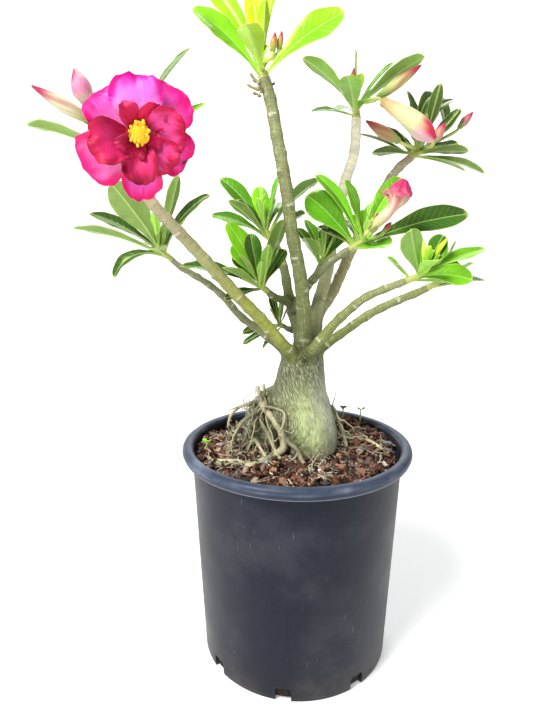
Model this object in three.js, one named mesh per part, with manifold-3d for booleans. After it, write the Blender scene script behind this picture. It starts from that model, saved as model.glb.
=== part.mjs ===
// A desert rose (adenium) that grows in a black nursery pot. Millimetres, +Z up.
// The origin is the middle of the pot's base, -Y is the front of the plant and +X its right.
import * as THREE from "three";
import { LoftGeometry } from "three/addons/geometries/LoftGeometry.js";
import { mergeVertices } from "three/addons/utils/BufferGeometryUtils.js";
import Module from "manifold-3d";

const wasm = await Module();
wasm.setup();

// Driving dimensions
const DEG = Math.PI / 180;
const GOLDEN_ANGLE = 137.5;
const GAP = 0.3; // clearance between pieces that touch
const HOLE_CLEARANCE = 0.4; // round the roots and the caudex, in the soil

const POT_HEIGHT = 195;
const POT_RIM_RADIUS = 100; // outside of the rolled rim
const POT_BASE_RADIUS = 83.4;
const POT_NECK_RADIUS = 91.4; // outside of the wall, just under the rim
const POT_WALL = 1.8;
const POT_FLOOR = 2.5;
const POT_BEAD_HEIGHT = 9.5;
const POT_BEAD_WIDTH = 10;
const POT_SEGMENTS = 36;
const DRAIN_COUNT = 8;
const DRAIN_WIDTH = 13;
const DRAIN_HEIGHT = 12;
const DRAIN_DEPTH = 9; // how far a drain slot reaches in from the outside of the wall
const DRAIN_START = -99; // azimuth of the slot nearest the front

const SOIL_LEVEL = 187;
const SOIL_EDGE = 184; // level of the soil where it meets the pot
const SOIL_SEGMENTS = 18;
const CHIP_COUNT = 31;
const CHIP_REACH = 78; // how far from the middle the bark chips lie
const CHIP_CLEAR = 30; // none nearer the middle, where the caudex stands

const LEAF_THICKNESS = 0.8;
const LEAF_FOLD = 14; // each half of a leaf rises this much from its midrib
const PETAL_THICKNESS = 0.8;

// Small helpers

const point = ([x, y, z]) => new THREE.Vector3(x, y, z);

// Seeded draws between 0 and 1, the same on every run.
function makeRandom(seed) {
  let state = seed;
  return () => {
    state = (state * 1664525 + 1013904223) % 4294967296;
    return state / 4294967296;
  };
}

// The value at share t (0 to 1) of evenly spaced values.
function along(values, t) {
  const place = t * (values.length - 1);
  const from = Math.min(Math.floor(place), values.length - 2);
  return THREE.MathUtils.lerp(values[from], values[from + 1], place - from);
}

function solidOf(geometry) {
  const bare = geometry.index ? geometry.toNonIndexed() : geometry.clone();
  bare.deleteAttribute("normal");
  bare.deleteAttribute("uv");
  const merged = mergeVertices(bare, 1e-3);
  return new wasm.Manifold(
    new wasm.Mesh({
      numProp: 3,
      vertProperties: merged.attributes.position.array,
      triVerts: new Uint32Array(merged.index.array),
    }),
  );
}

// Joins solids, and clears away edges and slivers too small to matter where they cross.
const SLIVER = 0.03;
const fuse = (solids) => wasm.Manifold.union(solids).asOriginal().simplify(SLIVER);

// The largest body of a solid: cutting can leave loose scraps beside it.
function largestBody(solid) {
  return solid.decompose().reduce((best, body) => (body.volume() > best.volume() ? body : best));
}

function makeMesh(name, solid, material) {
  const { vertProperties, triVerts } = solid.getMesh();
  const geometry = new THREE.BufferGeometry();
  geometry.setAttribute("position", new THREE.BufferAttribute(vertProperties, 3));
  geometry.setIndex(new THREE.BufferAttribute(triVerts, 1));
  geometry.computeVertexNormals();
  const mesh = new THREE.Mesh(geometry, material);
  mesh.name = name;
  return mesh;
}

// Materials

const finish = (color, roughness) => new THREE.MeshStandardMaterial({ color, roughness, metalness: 0 });
const POT_PLASTIC = finish("#2b3038", 0.45);
const SOIL_BARK = finish("#5a3324", 0.95);
const GREY_BARK = finish("#8d8f62", 0.7);
const LEAF_GREEN = finish("#4f8a2a", 0.4);
const PETAL_PINK = finish("#d8135f", 0.5);
const THROAT_YELLOW = finish("#f4c52a", 0.6);
const BUD_CREAM = finish("#d9c9a2", 0.5);
const BUD_PINK = finish("#c2557a", 0.5);
const CALYX_GREEN = finish("#7d9b4a", 0.5);

// Round stems, roots and buds

function ring(centre, across, up, radius, sides) {
  return Array.from({ length: sides }, (_, k) => {
    const angle = (2 * Math.PI * k) / sides;
    return centre
      .clone()
      .addScaledVector(across, radius * Math.cos(angle))
      .addScaledVector(up, radius * Math.sin(angle));
  });
}

const loftSolid = (sections) => solidOf(new LoftGeometry(sections, { capStart: true, capEnd: true }));

// A round rod along a smooth curve, whose radius follows `radii` from its first point to its last.
function rod({ points, radii, sides, step, grow = 0 }) {
  const curve = new THREE.CatmullRomCurve3(points.map(point));
  const count = Math.max(1, Math.round(curve.getLength() / step));
  const frames = curve.computeFrenetFrames(count);
  const sections = [];
  for (let i = 0; i <= count; i++) {
    const radius = along(radii, i / count) + grow;
    sections.push(ring(curve.getPointAt(i / count), frames.normals[i], frames.binormals[i], radius, sides));
  }
  return loftSolid(sections);
}

// A column of level rings, each given as height, centre x, centre y and radius.
function column(rings, sides, grow = 0) {
  const across = new THREE.Vector3(1, 0, 0);
  const up = new THREE.Vector3(0, 1, 0);
  const sections = rings.map(([z, x, y, radius]) =>
    ring(point([x, y, z]), across, up, radius + grow, sides));
  return loftSolid(sections);
}

// Leaves and petals: thin blades

// A closed slab round a grid of points, with both faces split into triangles alike.
function slab(grid, thickness) {
  const rows = grid.length;
  const columns = grid[0].length;
  const at = (i, j) => grid[THREE.MathUtils.clamp(i, 0, rows - 1)][THREE.MathUtils.clamp(j, 0, columns - 1)];
  const positions = [];
  for (const side of [0.5, -0.5]) {
    for (let i = 0; i < rows; i++) {
      for (let j = 0; j < columns; j++) {
        const lengthwise = at(i + 1, j).clone().sub(at(i - 1, j));
        const pointed = at(i, 0).distanceTo(at(i, columns - 1)) < 1e-3;
        const crosswise = pointed
          ? at(i - 1, columns - 1).clone().sub(at(i - 1, 0))
          : at(i, j + 1).clone().sub(at(i, j - 1));
        const normal = crosswise.cross(lengthwise).normalize();
        positions.push(...at(i, j).clone().addScaledVector(normal, side * thickness).toArray());
      }
    }
  }
  const top = (i, j) => i * columns + j;
  const bottom = (i, j) => rows * columns + top(i, j);
  const triangles = [];
  for (let i = 0; i + 1 < rows; i++) {
    for (let j = 0; j + 1 < columns; j++) {
      triangles.push(top(i, j), top(i, j + 1), top(i + 1, j + 1));
      triangles.push(top(i, j), top(i + 1, j + 1), top(i + 1, j));
      triangles.push(bottom(i, j), bottom(i + 1, j + 1), bottom(i, j + 1));
      triangles.push(bottom(i, j), bottom(i + 1, j), bottom(i + 1, j + 1));
    }
  }
  const edge = [];
  for (let j = 0; j < columns; j++) edge.push([0, j]);
  for (let i = 1; i < rows; i++) edge.push([i, columns - 1]);
  for (let j = columns - 2; j >= 0; j--) edge.push([rows - 1, j]);
  for (let i = rows - 2; i > 0; i--) edge.push([i, 0]);
  edge.forEach((from, k) => {
    const to = edge[(k + 1) % edge.length];
    triangles.push(top(...from), bottom(...from), bottom(...to), top(...from), bottom(...to), top(...to));
  });
  const geometry = new THREE.BufferGeometry();
  geometry.setAttribute("position", new THREE.Float32BufferAttribute(positions, 3));
  geometry.setIndex(triangles);
  return geometry;
}

// Width of a leaf, as a share of its greatest: narrow at the foot, widest past the middle, with a blunt end.
const LEAF_WIDEST = 0.7;
function leafOutline(t) {
  if (t < LEAF_WIDEST) return 0.16 + 0.84 * Math.sin((Math.PI / 2) * (t / LEAF_WIDEST) ** 1.25) ** 2;
  return (1 - ((t - LEAF_WIDEST) / (1 - LEAF_WIDEST)) ** 2) ** 0.7;
}

// Width of a petal: a narrow foot that fans out to a broad round end.
const PETAL_WIDEST = 0.66;
function petalOutline(t) {
  if (t < PETAL_WIDEST) return 0.16 + 0.84 * Math.sin((Math.PI / 2) * (t / PETAL_WIDEST));
  return Math.max(0.34, Math.sqrt(1 - ((t - PETAL_WIDEST) / (1 - PETAL_WIDEST)) ** 2));
}

const heading = (azimuth) => new THREE.Vector3(Math.cos(azimuth * DEG), Math.sin(azimuth * DEG), 0);

// The middle surface of a blade. It leaves `base` at an azimuth and elevation, and bends down by `arch` on
// its way to the tip. `twist` rolls it about its length, `fold` raises its two halves as a V, `cup` as a
// bowl, and `wave` ruffles its edges.
function bladeGrid(blade) {
  const { base, azimuth, elevation, length, width, arch, twist, fold = 0, cup = 0 } = blade;
  const { wave, waves, phase, outline, stations, columns } = blade;
  const forward = heading(azimuth);
  const level = heading(azimuth - 90);
  const cosTwist = Math.cos(twist * DEG);
  const sinTwist = Math.sin(twist * DEG);
  const bend = arch * DEG;
  const start = elevation * DEG;
  return stations.map((t) => {
    const slope = start - bend * t;
    const reach = bend ? (Math.sin(start) - Math.sin(slope)) / bend : Math.cos(start) * t;
    const rise = bend ? (Math.cos(slope) - Math.cos(start)) / bend : Math.sin(start) * t;
    const spine = base.clone().addScaledVector(forward, length * reach);
    spine.z += length * rise;
    const upright = forward.clone().multiplyScalar(-Math.sin(slope));
    upright.z = Math.cos(slope);
    const across = level.clone().multiplyScalar(cosTwist).addScaledVector(upright, -sinTwist);
    const normal = upright.clone().multiplyScalar(cosTwist).addScaledVector(level, sinTwist);
    const half = (width / 2) * outline(t);
    return Array.from({ length: columns }, (_, j) => {
      const s = (2 * j) / (columns - 1) - 1;
      const ruffle = wave * t * Math.abs(s) * Math.sin(2 * Math.PI * waves * t + phase + (s > 0 ? 2 : 0));
      const lift = half * (Math.abs(s) * Math.sin(fold * DEG) + s * s * cup) + ruffle;
      const beside = s * half * Math.cos(fold * DEG);
      return spine.clone().addScaledVector(across, beside).addScaledVector(normal, lift);
    });
  });
}

const LEAF_STATIONS = [0, 0.3, 0.56, 0.8, 0.94, 1];
const SHORT_LEAF_STATIONS = [0, 0.4, 0.76, 0.94, 1];
const TINY_LEAF_STATIONS = [0, 0.55, 1];
const SHORT_LEAF = 60;
const TINY_LEAF = 10;

function leafStations(length) {
  if (length < TINY_LEAF) return TINY_LEAF_STATIONS;
  return length < SHORT_LEAF ? SHORT_LEAF_STATIONS : LEAF_STATIONS;
}

// `turn` swings the leaf's upper face to the front of the plant.
function leaf(base, [azimuth, elevation, length, width, arch, turn], index) {
  const twist = heading(azimuth - 90).y < 0.05 ? turn : -turn;
  const grid = bladeGrid({ base, azimuth, elevation, length, width, arch, twist, fold: LEAF_FOLD,
    wave: 0.05 * width, waves: 1.5, phase: index * 1.7, outline: leafOutline,
    stations: leafStations(length), columns: 3 });
  return solidOf(slab(grid, LEAF_THICKNESS));
}

// The pot: one moulded shell with a rolled rim and drain slots round the foot of its wall
function makePot() {
  const neck = POT_HEIGHT - POT_BEAD_HEIGHT;
  const inside = POT_RIM_RADIUS - POT_BEAD_WIDTH;
  const profile = [
    [0, 0],
    [POT_BASE_RADIUS - 1.5, 0],
    [POT_BASE_RADIUS, 1.5],
    [POT_NECK_RADIUS, neck],
    [POT_RIM_RADIUS - 2.4, neck],
    [POT_RIM_RADIUS, neck + 3.6],
    [POT_RIM_RADIUS - 1, POT_HEIGHT - 2],
    [POT_RIM_RADIUS - 4.4, POT_HEIGHT],
    [POT_RIM_RADIUS - 7.6, POT_HEIGHT - 0.8],
    [inside, POT_HEIGHT - 4],
    [POT_NECK_RADIUS - POT_WALL, neck - 1],
    [POT_BASE_RADIUS - POT_WALL, POT_FLOOR],
    [0, POT_FLOOR],
  ].map(([radius, z]) => new THREE.Vector2(radius, z));
  const lathe = new THREE.LatheGeometry(profile, POT_SEGMENTS).rotateX(Math.PI / 2);
  const slots = [];
  for (let k = 0; k < DRAIN_COUNT; k++) {
    const slot = new THREE.BoxGeometry(2 * DRAIN_DEPTH, DRAIN_WIDTH, 2 * DRAIN_HEIGHT);
    slot.translate(POT_BASE_RADIUS, 0, 0);
    slot.rotateZ((DRAIN_START + (360 * k) / DRAIN_COUNT) * DEG);
    slots.push(solidOf(slot));
  }
  return solidOf(lathe).subtract(fuse(slots));
}

// The soil: one filling, heaped behind the plant, with bark chips on it

function soilHeight(x, y) {
  const heap = 5 * Math.exp(-((x - 52) ** 2 + (y - 52) ** 2) / 900);
  const dip = 5 * Math.exp(-((x + 55) ** 2 + (y - 45) ** 2) / 900);
  return SOIL_LEVEL + heap - dip + 0.8 * Math.sin(x / 9) * Math.cos(y / 11);
}

function makeSoilBody() {
  const outer = POT_NECK_RADIUS - POT_WALL - 2 * GAP;
  const random = makeRandom(11);
  const level = (z) => () => z;
  const uneven = (x, y) => soilHeight(x, y) + 1.6 * (random() - 0.5);
  const rings = [
    [POT_BASE_RADIUS - POT_WALL - 2 * GAP, level(POT_FLOOR + GAP)],
    [outer, level(SOIL_EDGE)],
    [0.88 * outer, uneven],
    [0.68 * outer, uneven],
    [0.46 * outer, uneven],
    [0.2 * outer, level(SOIL_LEVEL)],
  ];
  return loftSolid(rings.map(([radius, height]) => Array.from({ length: SOIL_SEGMENTS }, (_, k) => {
    const angle = (2 * Math.PI * k) / SOIL_SEGMENTS;
    const x = radius * Math.cos(angle);
    const y = radius * Math.sin(angle);
    return point([x, y, height(x, y)]);
  })));
}

// Bark chips: wedges with a long ridge, spread evenly and turned at random.
function makeChips() {
  const random = makeRandom(7);
  const chips = [];
  for (let k = 0; k < CHIP_COUNT; k++) {
    const radius = CHIP_REACH * Math.sqrt((k + 0.5) / CHIP_COUNT);
    const angle = k * GOLDEN_ANGLE * DEG;
    const x = radius * Math.cos(angle);
    const y = radius * Math.sin(angle);
    const length = 11 + 11 * random();
    const thickness = 3.4 + 1.6 * random();
    const lean = 24 * (random() - 0.5) * DEG;
    const turn = 360 * random() * DEG;
    if (radius < CHIP_CLEAR) continue;
    const chip = new THREE.CylinderGeometry(thickness, 0.7 * thickness, length, 3);
    chip.scale(1.6, 1, 1).rotateX(lean).rotateZ(turn);
    chip.translate(x, y, soilHeight(x, y) - 0.3 * thickness);
    chips.push(solidOf(chip));
  }
  return chips;
}

// The plant: a swollen caudex with a side lobe, stems and roots, all grown as one

const CAUDEX_SIDES = 16;
// height, centre x, centre y and radius of each ring
const CAUDEX = [
  [120, 10, -4, 6],
  [150, 11, -7, 14],
  [172, 12, -9, 19],
  [187, 12, -10, 20.5],
  [198, 13, -10, 21.5],
  [210, 9, -8, 24],
  [222, 4, -6, 25.5],
  [236, 2, -4, 24.4],
  [250, 3, -3, 21.4],
  [264, 4, -1, 19],
  [274, 5, -1, 16.5],
  [281, 5, 0, 9],
];
const LOBE_SIDES = 12;
const LOBE = [
  [140, -16, 12, 8],
  [165, -24, 17, 16],
  [187, -27, 18, 20.5],
  [202, -27, 17, 21],
  [216, -24, 14, 18.5],
  [228, -19, 10, 15],
  [238, -13, 6, 9],
];

const STEM_SIDES = 7;
const STEM_STEP = 30; // distance between leaf scars, where a stem swells a little
const CROTCH = [5, -1, 262];
const STEMS = {
  tall_centre: {
    points: [CROTCH, [4, -8, 282], [4, -12, 309], [0, -15, 343], [-7, -18, 376], [-11, -18, 406],
      [-18, -15, 443], [-24, -12, 474], [-28, -10, 487]],
    radii: [9, 6.8, 5.8, 5.4, 5.2, 5.1, 5, 4.8],
  },
  flower: {
    points: [CROTCH, [-9, -15, 279], [-31, -30, 307], [-48, -44, 327], [-66, -57, 349], [-84, -69, 371],
      [-97, -78, 386], [-109, -84, 403], [-114, -87, 415]],
    radii: [8, 5.7, 5.2, 4.9, 4.7, 4.5, 4.2, 3.8],
  },
  left: {
    points: [CROTCH, [-10, 3, 275], [-30, 8, 289.5], [-49, 9, 304], [-63, 6, 321], [-75, 2, 332],
      [-85, -3, 339], [-98, -8, 348], [-103, -11, 353]],
    radii: [8, 5, 4.1, 3.6, 3.3, 3, 2.7],
  },
  centre_high: {
    points: [[4, 2, 270], [2, 8, 288], [-5, 15, 310], [-8, 18, 325], [-11, 20, 342], [-17, 22, 359],
      [-22, 22, 367]],
    radii: [7, 5.4, 4.6, 4.1, 3.8],
  },
  centre_low: {
    points: [[-5, 15, 311], [-10, 10, 317], [-15, 5, 319], [-22, -1, 323], [-26, -5, 327]],
    radii: [3.6, 3],
  },
  right_front: {
    points: [[-3, 12, 308], [7, 8, 328], [25, 0, 349], [38, -7, 359], [41, -8, 361]],
    radii: [4.2, 3.5, 3.2],
  },
  centre_right: { points: [[12, 6, 334], [17, 5, 342], [19, 8, 347]], radii: [3.1, 2.8] },
  tall_right: {
    points: [[8, 3, 268], [13, 8, 288], [17, 18, 307], [26, 28, 337], [33, 38, 376], [42, 45, 416],
      [50, 50, 440], [52, 55, 464], [52, 56, 472]],
    radii: [7.4, 6.2, 5.6, 5.2, 4.9, 4.7, 4.5],
  },
  back_right: {
    points: [[10, 6, 272], [15.5, 15, 291], [19.5, 25, 303.5], [33, 38, 321], [48.5, 52, 352], [71, 68, 393],
      [95, 80, 431], [108, 84, 442]],
    radii: [7.6, 5.6, 4.9, 4.6, 4.4, 4.1],
  },
  far_right: {
    points: [CROTCH, [6, -16, 273], [11, -22, 281], [20.5, -27, 295], [35, -34, 312.5], [49, -40, 325.5],
      [64, -45, 333], [78, -48, 339]],
    radii: [8.5, 5.4, 4.3, 3.8, 3.4, 2.9],
  },
  low: { points: [[1, 9, 291], [-6, 15, 291], [-11, 20, 293]], radii: [3.4, 2.4] },
  far_right_back: {
    points: [[6, -2, 264], [15, -5, 275], [25, -8, 284], [39, -12, 295], [57, -16, 309], [77, -20, 320],
      [95, -22, 328], [101, -22, 331]],
    radii: [8, 4.9, 4.1, 3.8, 3.5, 3.3],
  },
};

const ROOT_SIDES = 5;
const ROOT_STEP = 16;
const BURIED_ROOT_STEP = 30;
// Each root: its radii and its points. A point with no height lies on the soil.
const ROOTS = [
  { radii: [3.2, 2.8, 2.4, 2, 1.5], points: [[-22, 6, 226], [-30, -2, 229], [-20, -14, 218],
    [-13, -20, 206], [-12, -23, 196], [-18, -24], [-31, -38], [-40, -45], [-49, -37], [-58, -37],
      [-68, -37]] },
  { radii: [2.2, 1.8, 1.5], points: [[-24, 4, 224], [-31, -5, 224], [-41, -12, 221], [-49, -14, 214],
    [-53, -12, 205], [-54, -2, 195], [-53, 8]] },
  { radii: [2, 1.8, 1.4], points: [[-24, 4, 222], [-31, -4, 221], [-30, -10, 213], [-25, -14, 205],
    [-18, -26, 192], [-15, -33]] },
  { radii: [2, 1.6, 1.2], points: [[-22, 6, 226], [-28, -6, 228], [-18, -22, 231], [-12, -29, 229],
    [-13, -30, 219], [-16, -29, 210]] },
  { radii: [2.2, 1.8, 1.3], points: [[0, -16, 208], [-9, -25, 204], [-3, -33, 200], [1, -36, 194],
    [4, -41], [11, -59], [18, -73]] },
  { radii: [2, 1.5, 1.2], points: [[-22, 8, 226], [-36, 5, 227], [-53, 10, 220], [-59, 8, 213],
    [-61, 7, 204]] },
  { radii: [2.4, 1.8, 1.4], points: [[-30, 16, 190], [-47, 22], [-53, 33], [-58, 44], [-60, 54]] },
  { radii: [1.6, 1.4], points: [[-50, -37], [-62, -44], [-70, -38], [-75, -30]] },
  { radii: [2, 1.6, 1.4], points: [[-27, 6, 188], [-38, -5, 186], [-43, -12, 190], [-37, -12, 199],
    [-31, -19, 193], [-27, -29]] },
  { radii: [2, 1.6, 1.4], points: [[20, -5, 228], [29, -4, 227], [36, -4, 214], [41, -5, 201], [44, -8]] },
  { radii: [2.6, 2, 1.6, 1.3], points: [[22, 0, 186], [34, 12, 187], [44, 20], [55, 14], [67, 5],
    [74, -12]] },
  { radii: [3.2, 2.4, 1.6], points: [[-24, 4, 225], [-30, 1, 233], [-35, 3, 243]] }, // dried stub
  { radii: [1.6, 1], points: [[-30, 1, 232], [-28, -3, 240], [-29, -4, 247]] }, // dried stub
];

// Roots under the soil, which hold the plant up
const BURIED_ROOTS = [
  { radii: [9, 2], points: [[10, -8, 160], [30, -20, 136], [48, -28, 120]] },
  { radii: [8, 2], points: [[8, -4, 158], [18, 24, 134], [24, 50, 112]] },
  { radii: [9, 2], points: [[-20, 14, 165], [-38, 4, 140], [-56, -8, 118]] },
];

function rootPoints({ points, radii }) {
  return points.map(([x, y, z]) => [x, y, z ?? soilHeight(x, y) + 0.5 * radii.at(-1)]);
}

function rootSolids(roots, step, grow) {
  return roots.map((root) =>
    rod({ points: rootPoints(root), radii: root.radii, sides: ROOT_SIDES, step, grow }));
}

// The caudex, its lobe and the roots, which the soil leaves room for.
function makeFoot(grow) {
  return fuse([
    column(CAUDEX, CAUDEX_SIDES, grow),
    column(LOBE, LOBE_SIDES, grow),
    ...rootSolids(ROOTS, ROOT_STEP, grow),
    ...rootSolids(BURIED_ROOTS, BURIED_ROOT_STEP, grow),
  ]);
}

function makePlant() {
  const stems = Object.values(STEMS).map(({ points, radii }) =>
    rod({ points, radii, sides: STEM_SIDES, step: STEM_STEP }));
  return fuse([makeFoot(0), ...stems]);
}

// The buds: slender spindles, each on a stalk from the end of a shoot

const BUD_SIDES = 6;
const BUD_OUTLINE = [0.45, 0.9, 1, 0.7, 0.15]; // radius along a bud, as shares of its greatest
const bud = (stem, material, foot, tip, radius) => ({
  stem, material, points: [foot, tip], radii: BUD_OUTLINE.map((share) => share * radius),
});
const BUDS = {
  bud_top_left: bud("tall_centre", BUD_PINK, [-22, -10, 506], [-20, -11, 519], 2.7),
  bud_top_right: bud("tall_centre", BUD_PINK, [-17, -8, 508], [-15, -8, 521], 2.4),
  bud_flower_long: bud("flower", BUD_CREAM, [-136, -92, 442], [-167, -106, 460], 4.1),
  bud_flower_round: bud("flower", BUD_PINK, [-139, -90, 453], [-145, -92, 473], 6.2),
  bud_flower_thin: bud("flower", BUD_PINK, [-130, -98, 439], [-137, -106, 448], 1.9),
  bud_tall_right_upper: bud("tall_right", BUD_CREAM, [70, 56, 488], [105, 50, 513], 5.4),
  bud_tall_right_red: bud("tall_right", BUD_PINK, [46, 44, 495], [47, 44, 509], 2.6),
  bud_tall_right_hanging: {
    stem: "tall_right",
    material: BUD_CREAM,
    points: [[72, 46, 484], [96, 40, 468], [116, 36, 451]],
    radii: [3, 6.4, 7.8, 8.8, 9.2, 6.5, 1.6],
  },
  bud_back_right_left: bud("back_right", BUD_PINK, [93, 66, 454], [61, 58, 470], 5.2),
  bud_back_right_middle: bud("back_right", BUD_PINK, [125, 68, 454], [132, 62, 469], 4.3),
  bud_back_right_far: bud("back_right", BUD_PINK, [151, 82, 468], [163, 82, 482], 3.6),
  bud_right_front_left: bud("right_front", BUD_PINK, [58, -18, 379], [60, -18, 389], 2.3),
  bud_right_front_right: bud("right_front", BUD_PINK, [64, -26, 375], [69, -28, 382], 2.2),
  faded_flower: {
    stem: "right_front",
    material: BUD_PINK,
    points: [[52, -30, 376], [68, -36, 393], [75, -38, 412]],
    radii: [2.2, 4.2, 4.6, 4.2, 7.4, 7.8, 2.5],
  },
};

function budSolid({ points, radii }) {
  const length = new THREE.CatmullRomCurve3(points.map(point)).getLength();
  return rod({ points, radii, sides: BUD_SIDES, step: length / (radii.length - 1) });
}

// Where the flower is: the middle of its face, and the way that it faces

const FLOWER_CENTRE = [-102, -115, 431];
const FLOWER_FACING = [0.2, -0.97, -0.12];
const TUBE_LENGTH = 20;
const CALYX_LENGTH = 6;
const calyxPoint = (distance) =>
  point(FLOWER_CENTRE).addScaledVector(point(FLOWER_FACING).normalize(), -distance).toArray();
const CALYX = {
  stem: "flower",
  points: [calyxPoint(TUBE_LENGTH + CALYX_LENGTH + GAP), calyxPoint(TUBE_LENGTH + GAP)],
};

// The leafy shoots: each is a short green tip, set on a stem's end, with its leaves
// A leaf is: azimuth, elevation at its foot, length, width, arch and turn.
const SHOOT_SIDES = 5;
const SHOOTS = {
  leaves_top: {
    stem: "tall_centre",
    tip: 14,
    leaves: [
      [-168, 53, 66, 20, 25, 35],
      [-5, 48, 71, 22, 25, 40],
      [150, 70, 88, 18, 30, 45],
      [-102, 30, 49, 19, 20, 0],
      [70, 45, 60, 17, 35, 0],
      [116, 78, 50, 14, 5, 20],
      [105, 70, 70, 15, 10, 30],
      [-60, 80, 42, 11, 0, 0],
      [25, 80, 62, 16, 5, 10],
    ],
  },
  leaves_flower: {
    stem: "flower",
    tip: 12,
    leaves: [
      [-175, 36, 65, 16, 30, -20],
      [9, 44, 61, 14, 15, 20],
      [110, 40, 52, 15, 35, 0],
      [8, 68, 76, 15, 25, 20],
    ],
  },
  leaves_left: {
    stem: "left",
    tip: 14,
    leaves: [
      [-166, 30, 51, 16, 100, 25],
      [-172, 30, 74, 14, 25, -30],
      [120, 25, 55, 15, 35, 0],
      [171, 40, 70, 15, 25, 30],
      [-101, 26, 23, 16, 30, 0],
      [-152, 59, 64, 27, 10, -60],
      [8, 72, 59, 15, 45, 35],
      [75, 45, 50, 15, 30, 0],
      [-110, 76, 30, 8, 5, 0],
      [-17, 73, 58, 12, 0, -30],
    ],
  },
  leaves_centre_low: {
    stem: "centre_low",
    tip: 12,
    leaves: [
      [-170, 34, 70, 17, 35, 30],
      [-150, 32, 40, 16, 10, -20],
      [150, 58, 44, 18, 15, 10],
      [-68, 73, 36, 10, 5, 0],
      [158, 70, 58, 19, 20, 25],
      [19, 72, 55, 17, 5, -60],
      [120, 74, 42, 15, 5, 20],
    ],
  },
  leaves_centre_high: {
    stem: "centre_high",
    tip: 12,
    leaves: [
      [171, 39, 54, 14, 35, 35],
      [-160, 51, 46, 14, 20, -25],
      [110, 35, 52, 16, 35, 0],
      [165, 64, 63, 17, 30, 40],
      [16, 65, 65, 16, 40, -40],
      [75, 50, 50, 15, 35, 0],
      [122, 75, 39, 15, 5, 30],
      [0, 78, 46, 16, 5, 20],
    ],
  },
  leaves_centre_right: {
    stem: "centre_right",
    tip: 8,
    leaves: [
      [-133, 52, 29, 17, 8, 0],
      [32, 50, 34, 14, 5, 20],
      [153, 53, 35, 14, 5, 20],
      [38, 80, 28, 16, 0, 50],
      [126, 62, 39, 13, 15, 0],
    ],
  },
  leaves_right_front: {
    stem: "right_front",
    tip: 14,
    leaves: [
      [-41, 1, 34, 20, -10, 0],
      [0, 26, 92, 24, 20, 50],
      [162, 55, 56, 25, 20, 30],
      [90, 45, 45, 16, 30, 0],
      [24, 55, 47, 14, 10, 20],
      [161, 73, 65, 15, 35, 40],
      [18, 72, 60, 18, 30, 20],
      [-170, 78, 49, 15, 15, 50],
    ],
  },
  leaves_far_right: {
    stem: "far_right",
    tip: 14,
    leaves: [
      [-8, 1, 35, 14, 10, -10],
      [-17, 20, 42, 17, 40, 40],
      [162, 40, 24, 12, 0, 0],
      [-71, 33, 30, 17, 10, 0],
      [5, 30, 33, 14, 30, 30],
      [6, 32, 53, 13, 20, 20],
      [-124, 49, 41, 19, -10, -50],
      [26, 63, 34, 15, 10, 40],
      [-8, 61, 30, 10, 0, 0],
    ],
  },
  leaves_far_right_back: {
    stem: "far_right_back",
    tip: 12,
    leaves: [
      [3, 12, 43, 15, 10, 10],
      [60, 25, 50, 15, 30, 0],
      [11, 33, 34, 12, 10, 0],
      [110, 40, 48, 15, 35, 0],
    ],
  },
  leaves_low: {
    stem: "low",
    tip: 6,
    leaves: [
      [-178, -45, 26, 8, 10, 0],
      [175, -20, 38, 9, 15, 0],
      [165, -5, 36, 10, 20, 20],
      [170, 75, 28, 9, 5, 30],
    ],
  },
  leaves_tall_right: {
    stem: "tall_right",
    tip: 14,
    leaves: [
      [-168, 17, 39, 12, 30, 20],
      [-109, 35, 43, 19, 10, 0],
      [100, 30, 54, 16, 35, 0],
      [-140, 39, 24, 7, 0, 0],
      [-174, 58, 62, 17, 35, -35],
      [5, 49, 71, 18, 25, -45],
      [45, 45, 55, 15, 30, 0],
      [-6, 61, 46, 12, 25, 15],
      [140, 55, 50, 15, 30, 0],
      [105, 83, 45, 12, 0, -60],
    ],
  },
  leaves_back_right: {
    stem: "back_right",
    tip: 14,
    leaves: [
      [4, 3, 71, 13, 30, -20],
      [-10, -7, 48, 13, 20, 0],
      [174, 32, 52, 10, 20, 0],
      [70, 35, 55, 16, 35, 0],
      [-6, 12, 47, 14, 20, -30],
      [-166, 4, 42, 14, 10, -30],
      [-16, 38, 51, 16, -15, 30],
      [178, 34, 45, 12, 10, 0],
      [125, 45, 50, 15, 30, 0],
      [17, 98, 62, 16, 60, 20],
      [-48, 68, 58, 12, -10, -40],
      [150, 86, 55, 13, 20, 20],
      [45, 80, 49, 14, 40, 20],
    ],
  },
};

// Where a stem ends, and the direction that it ends in.
function stemEnd(name) {
  const [before, end] = STEMS[name].points.slice(-2).map(point);
  return { end, direction: end.clone().sub(before).normalize() };
}

const SHOOT_END_RADIUS = 1.8;
const STALK_RADII = [1.7, 1.5];
const STALK_SIDES = 4;
const STALK_STRAIGHT = 3; // the last stretch, in line with what it carries
const STALK_SUNK = 1.5;
const LOWEST_LEAF = 0.15; // where on a shoot its first leaf starts, as a share of its length
const HIGHEST_LEAF = 0.9;
const LEAF_ROOT = 0.6; // how far out from a shoot's middle its leaves start, as a share of its radius

// A thin stalk from inside the top of a shoot to just short of what it carries.
function stalk(top, load) {
  const carried = point(load.points[0]);
  const towards = point(load.points[1]).sub(carried).normalize();
  const end = carried.addScaledVector(towards, -GAP);
  const bend = end.clone().addScaledVector(towards, -STALK_STRAIGHT);
  const step = top.distanceTo(end) / 3;
  const points = [top, bend, end].map((place) => place.toArray());
  return rod({ points, radii: STALK_RADII, sides: STALK_SIDES, step });
}

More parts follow.
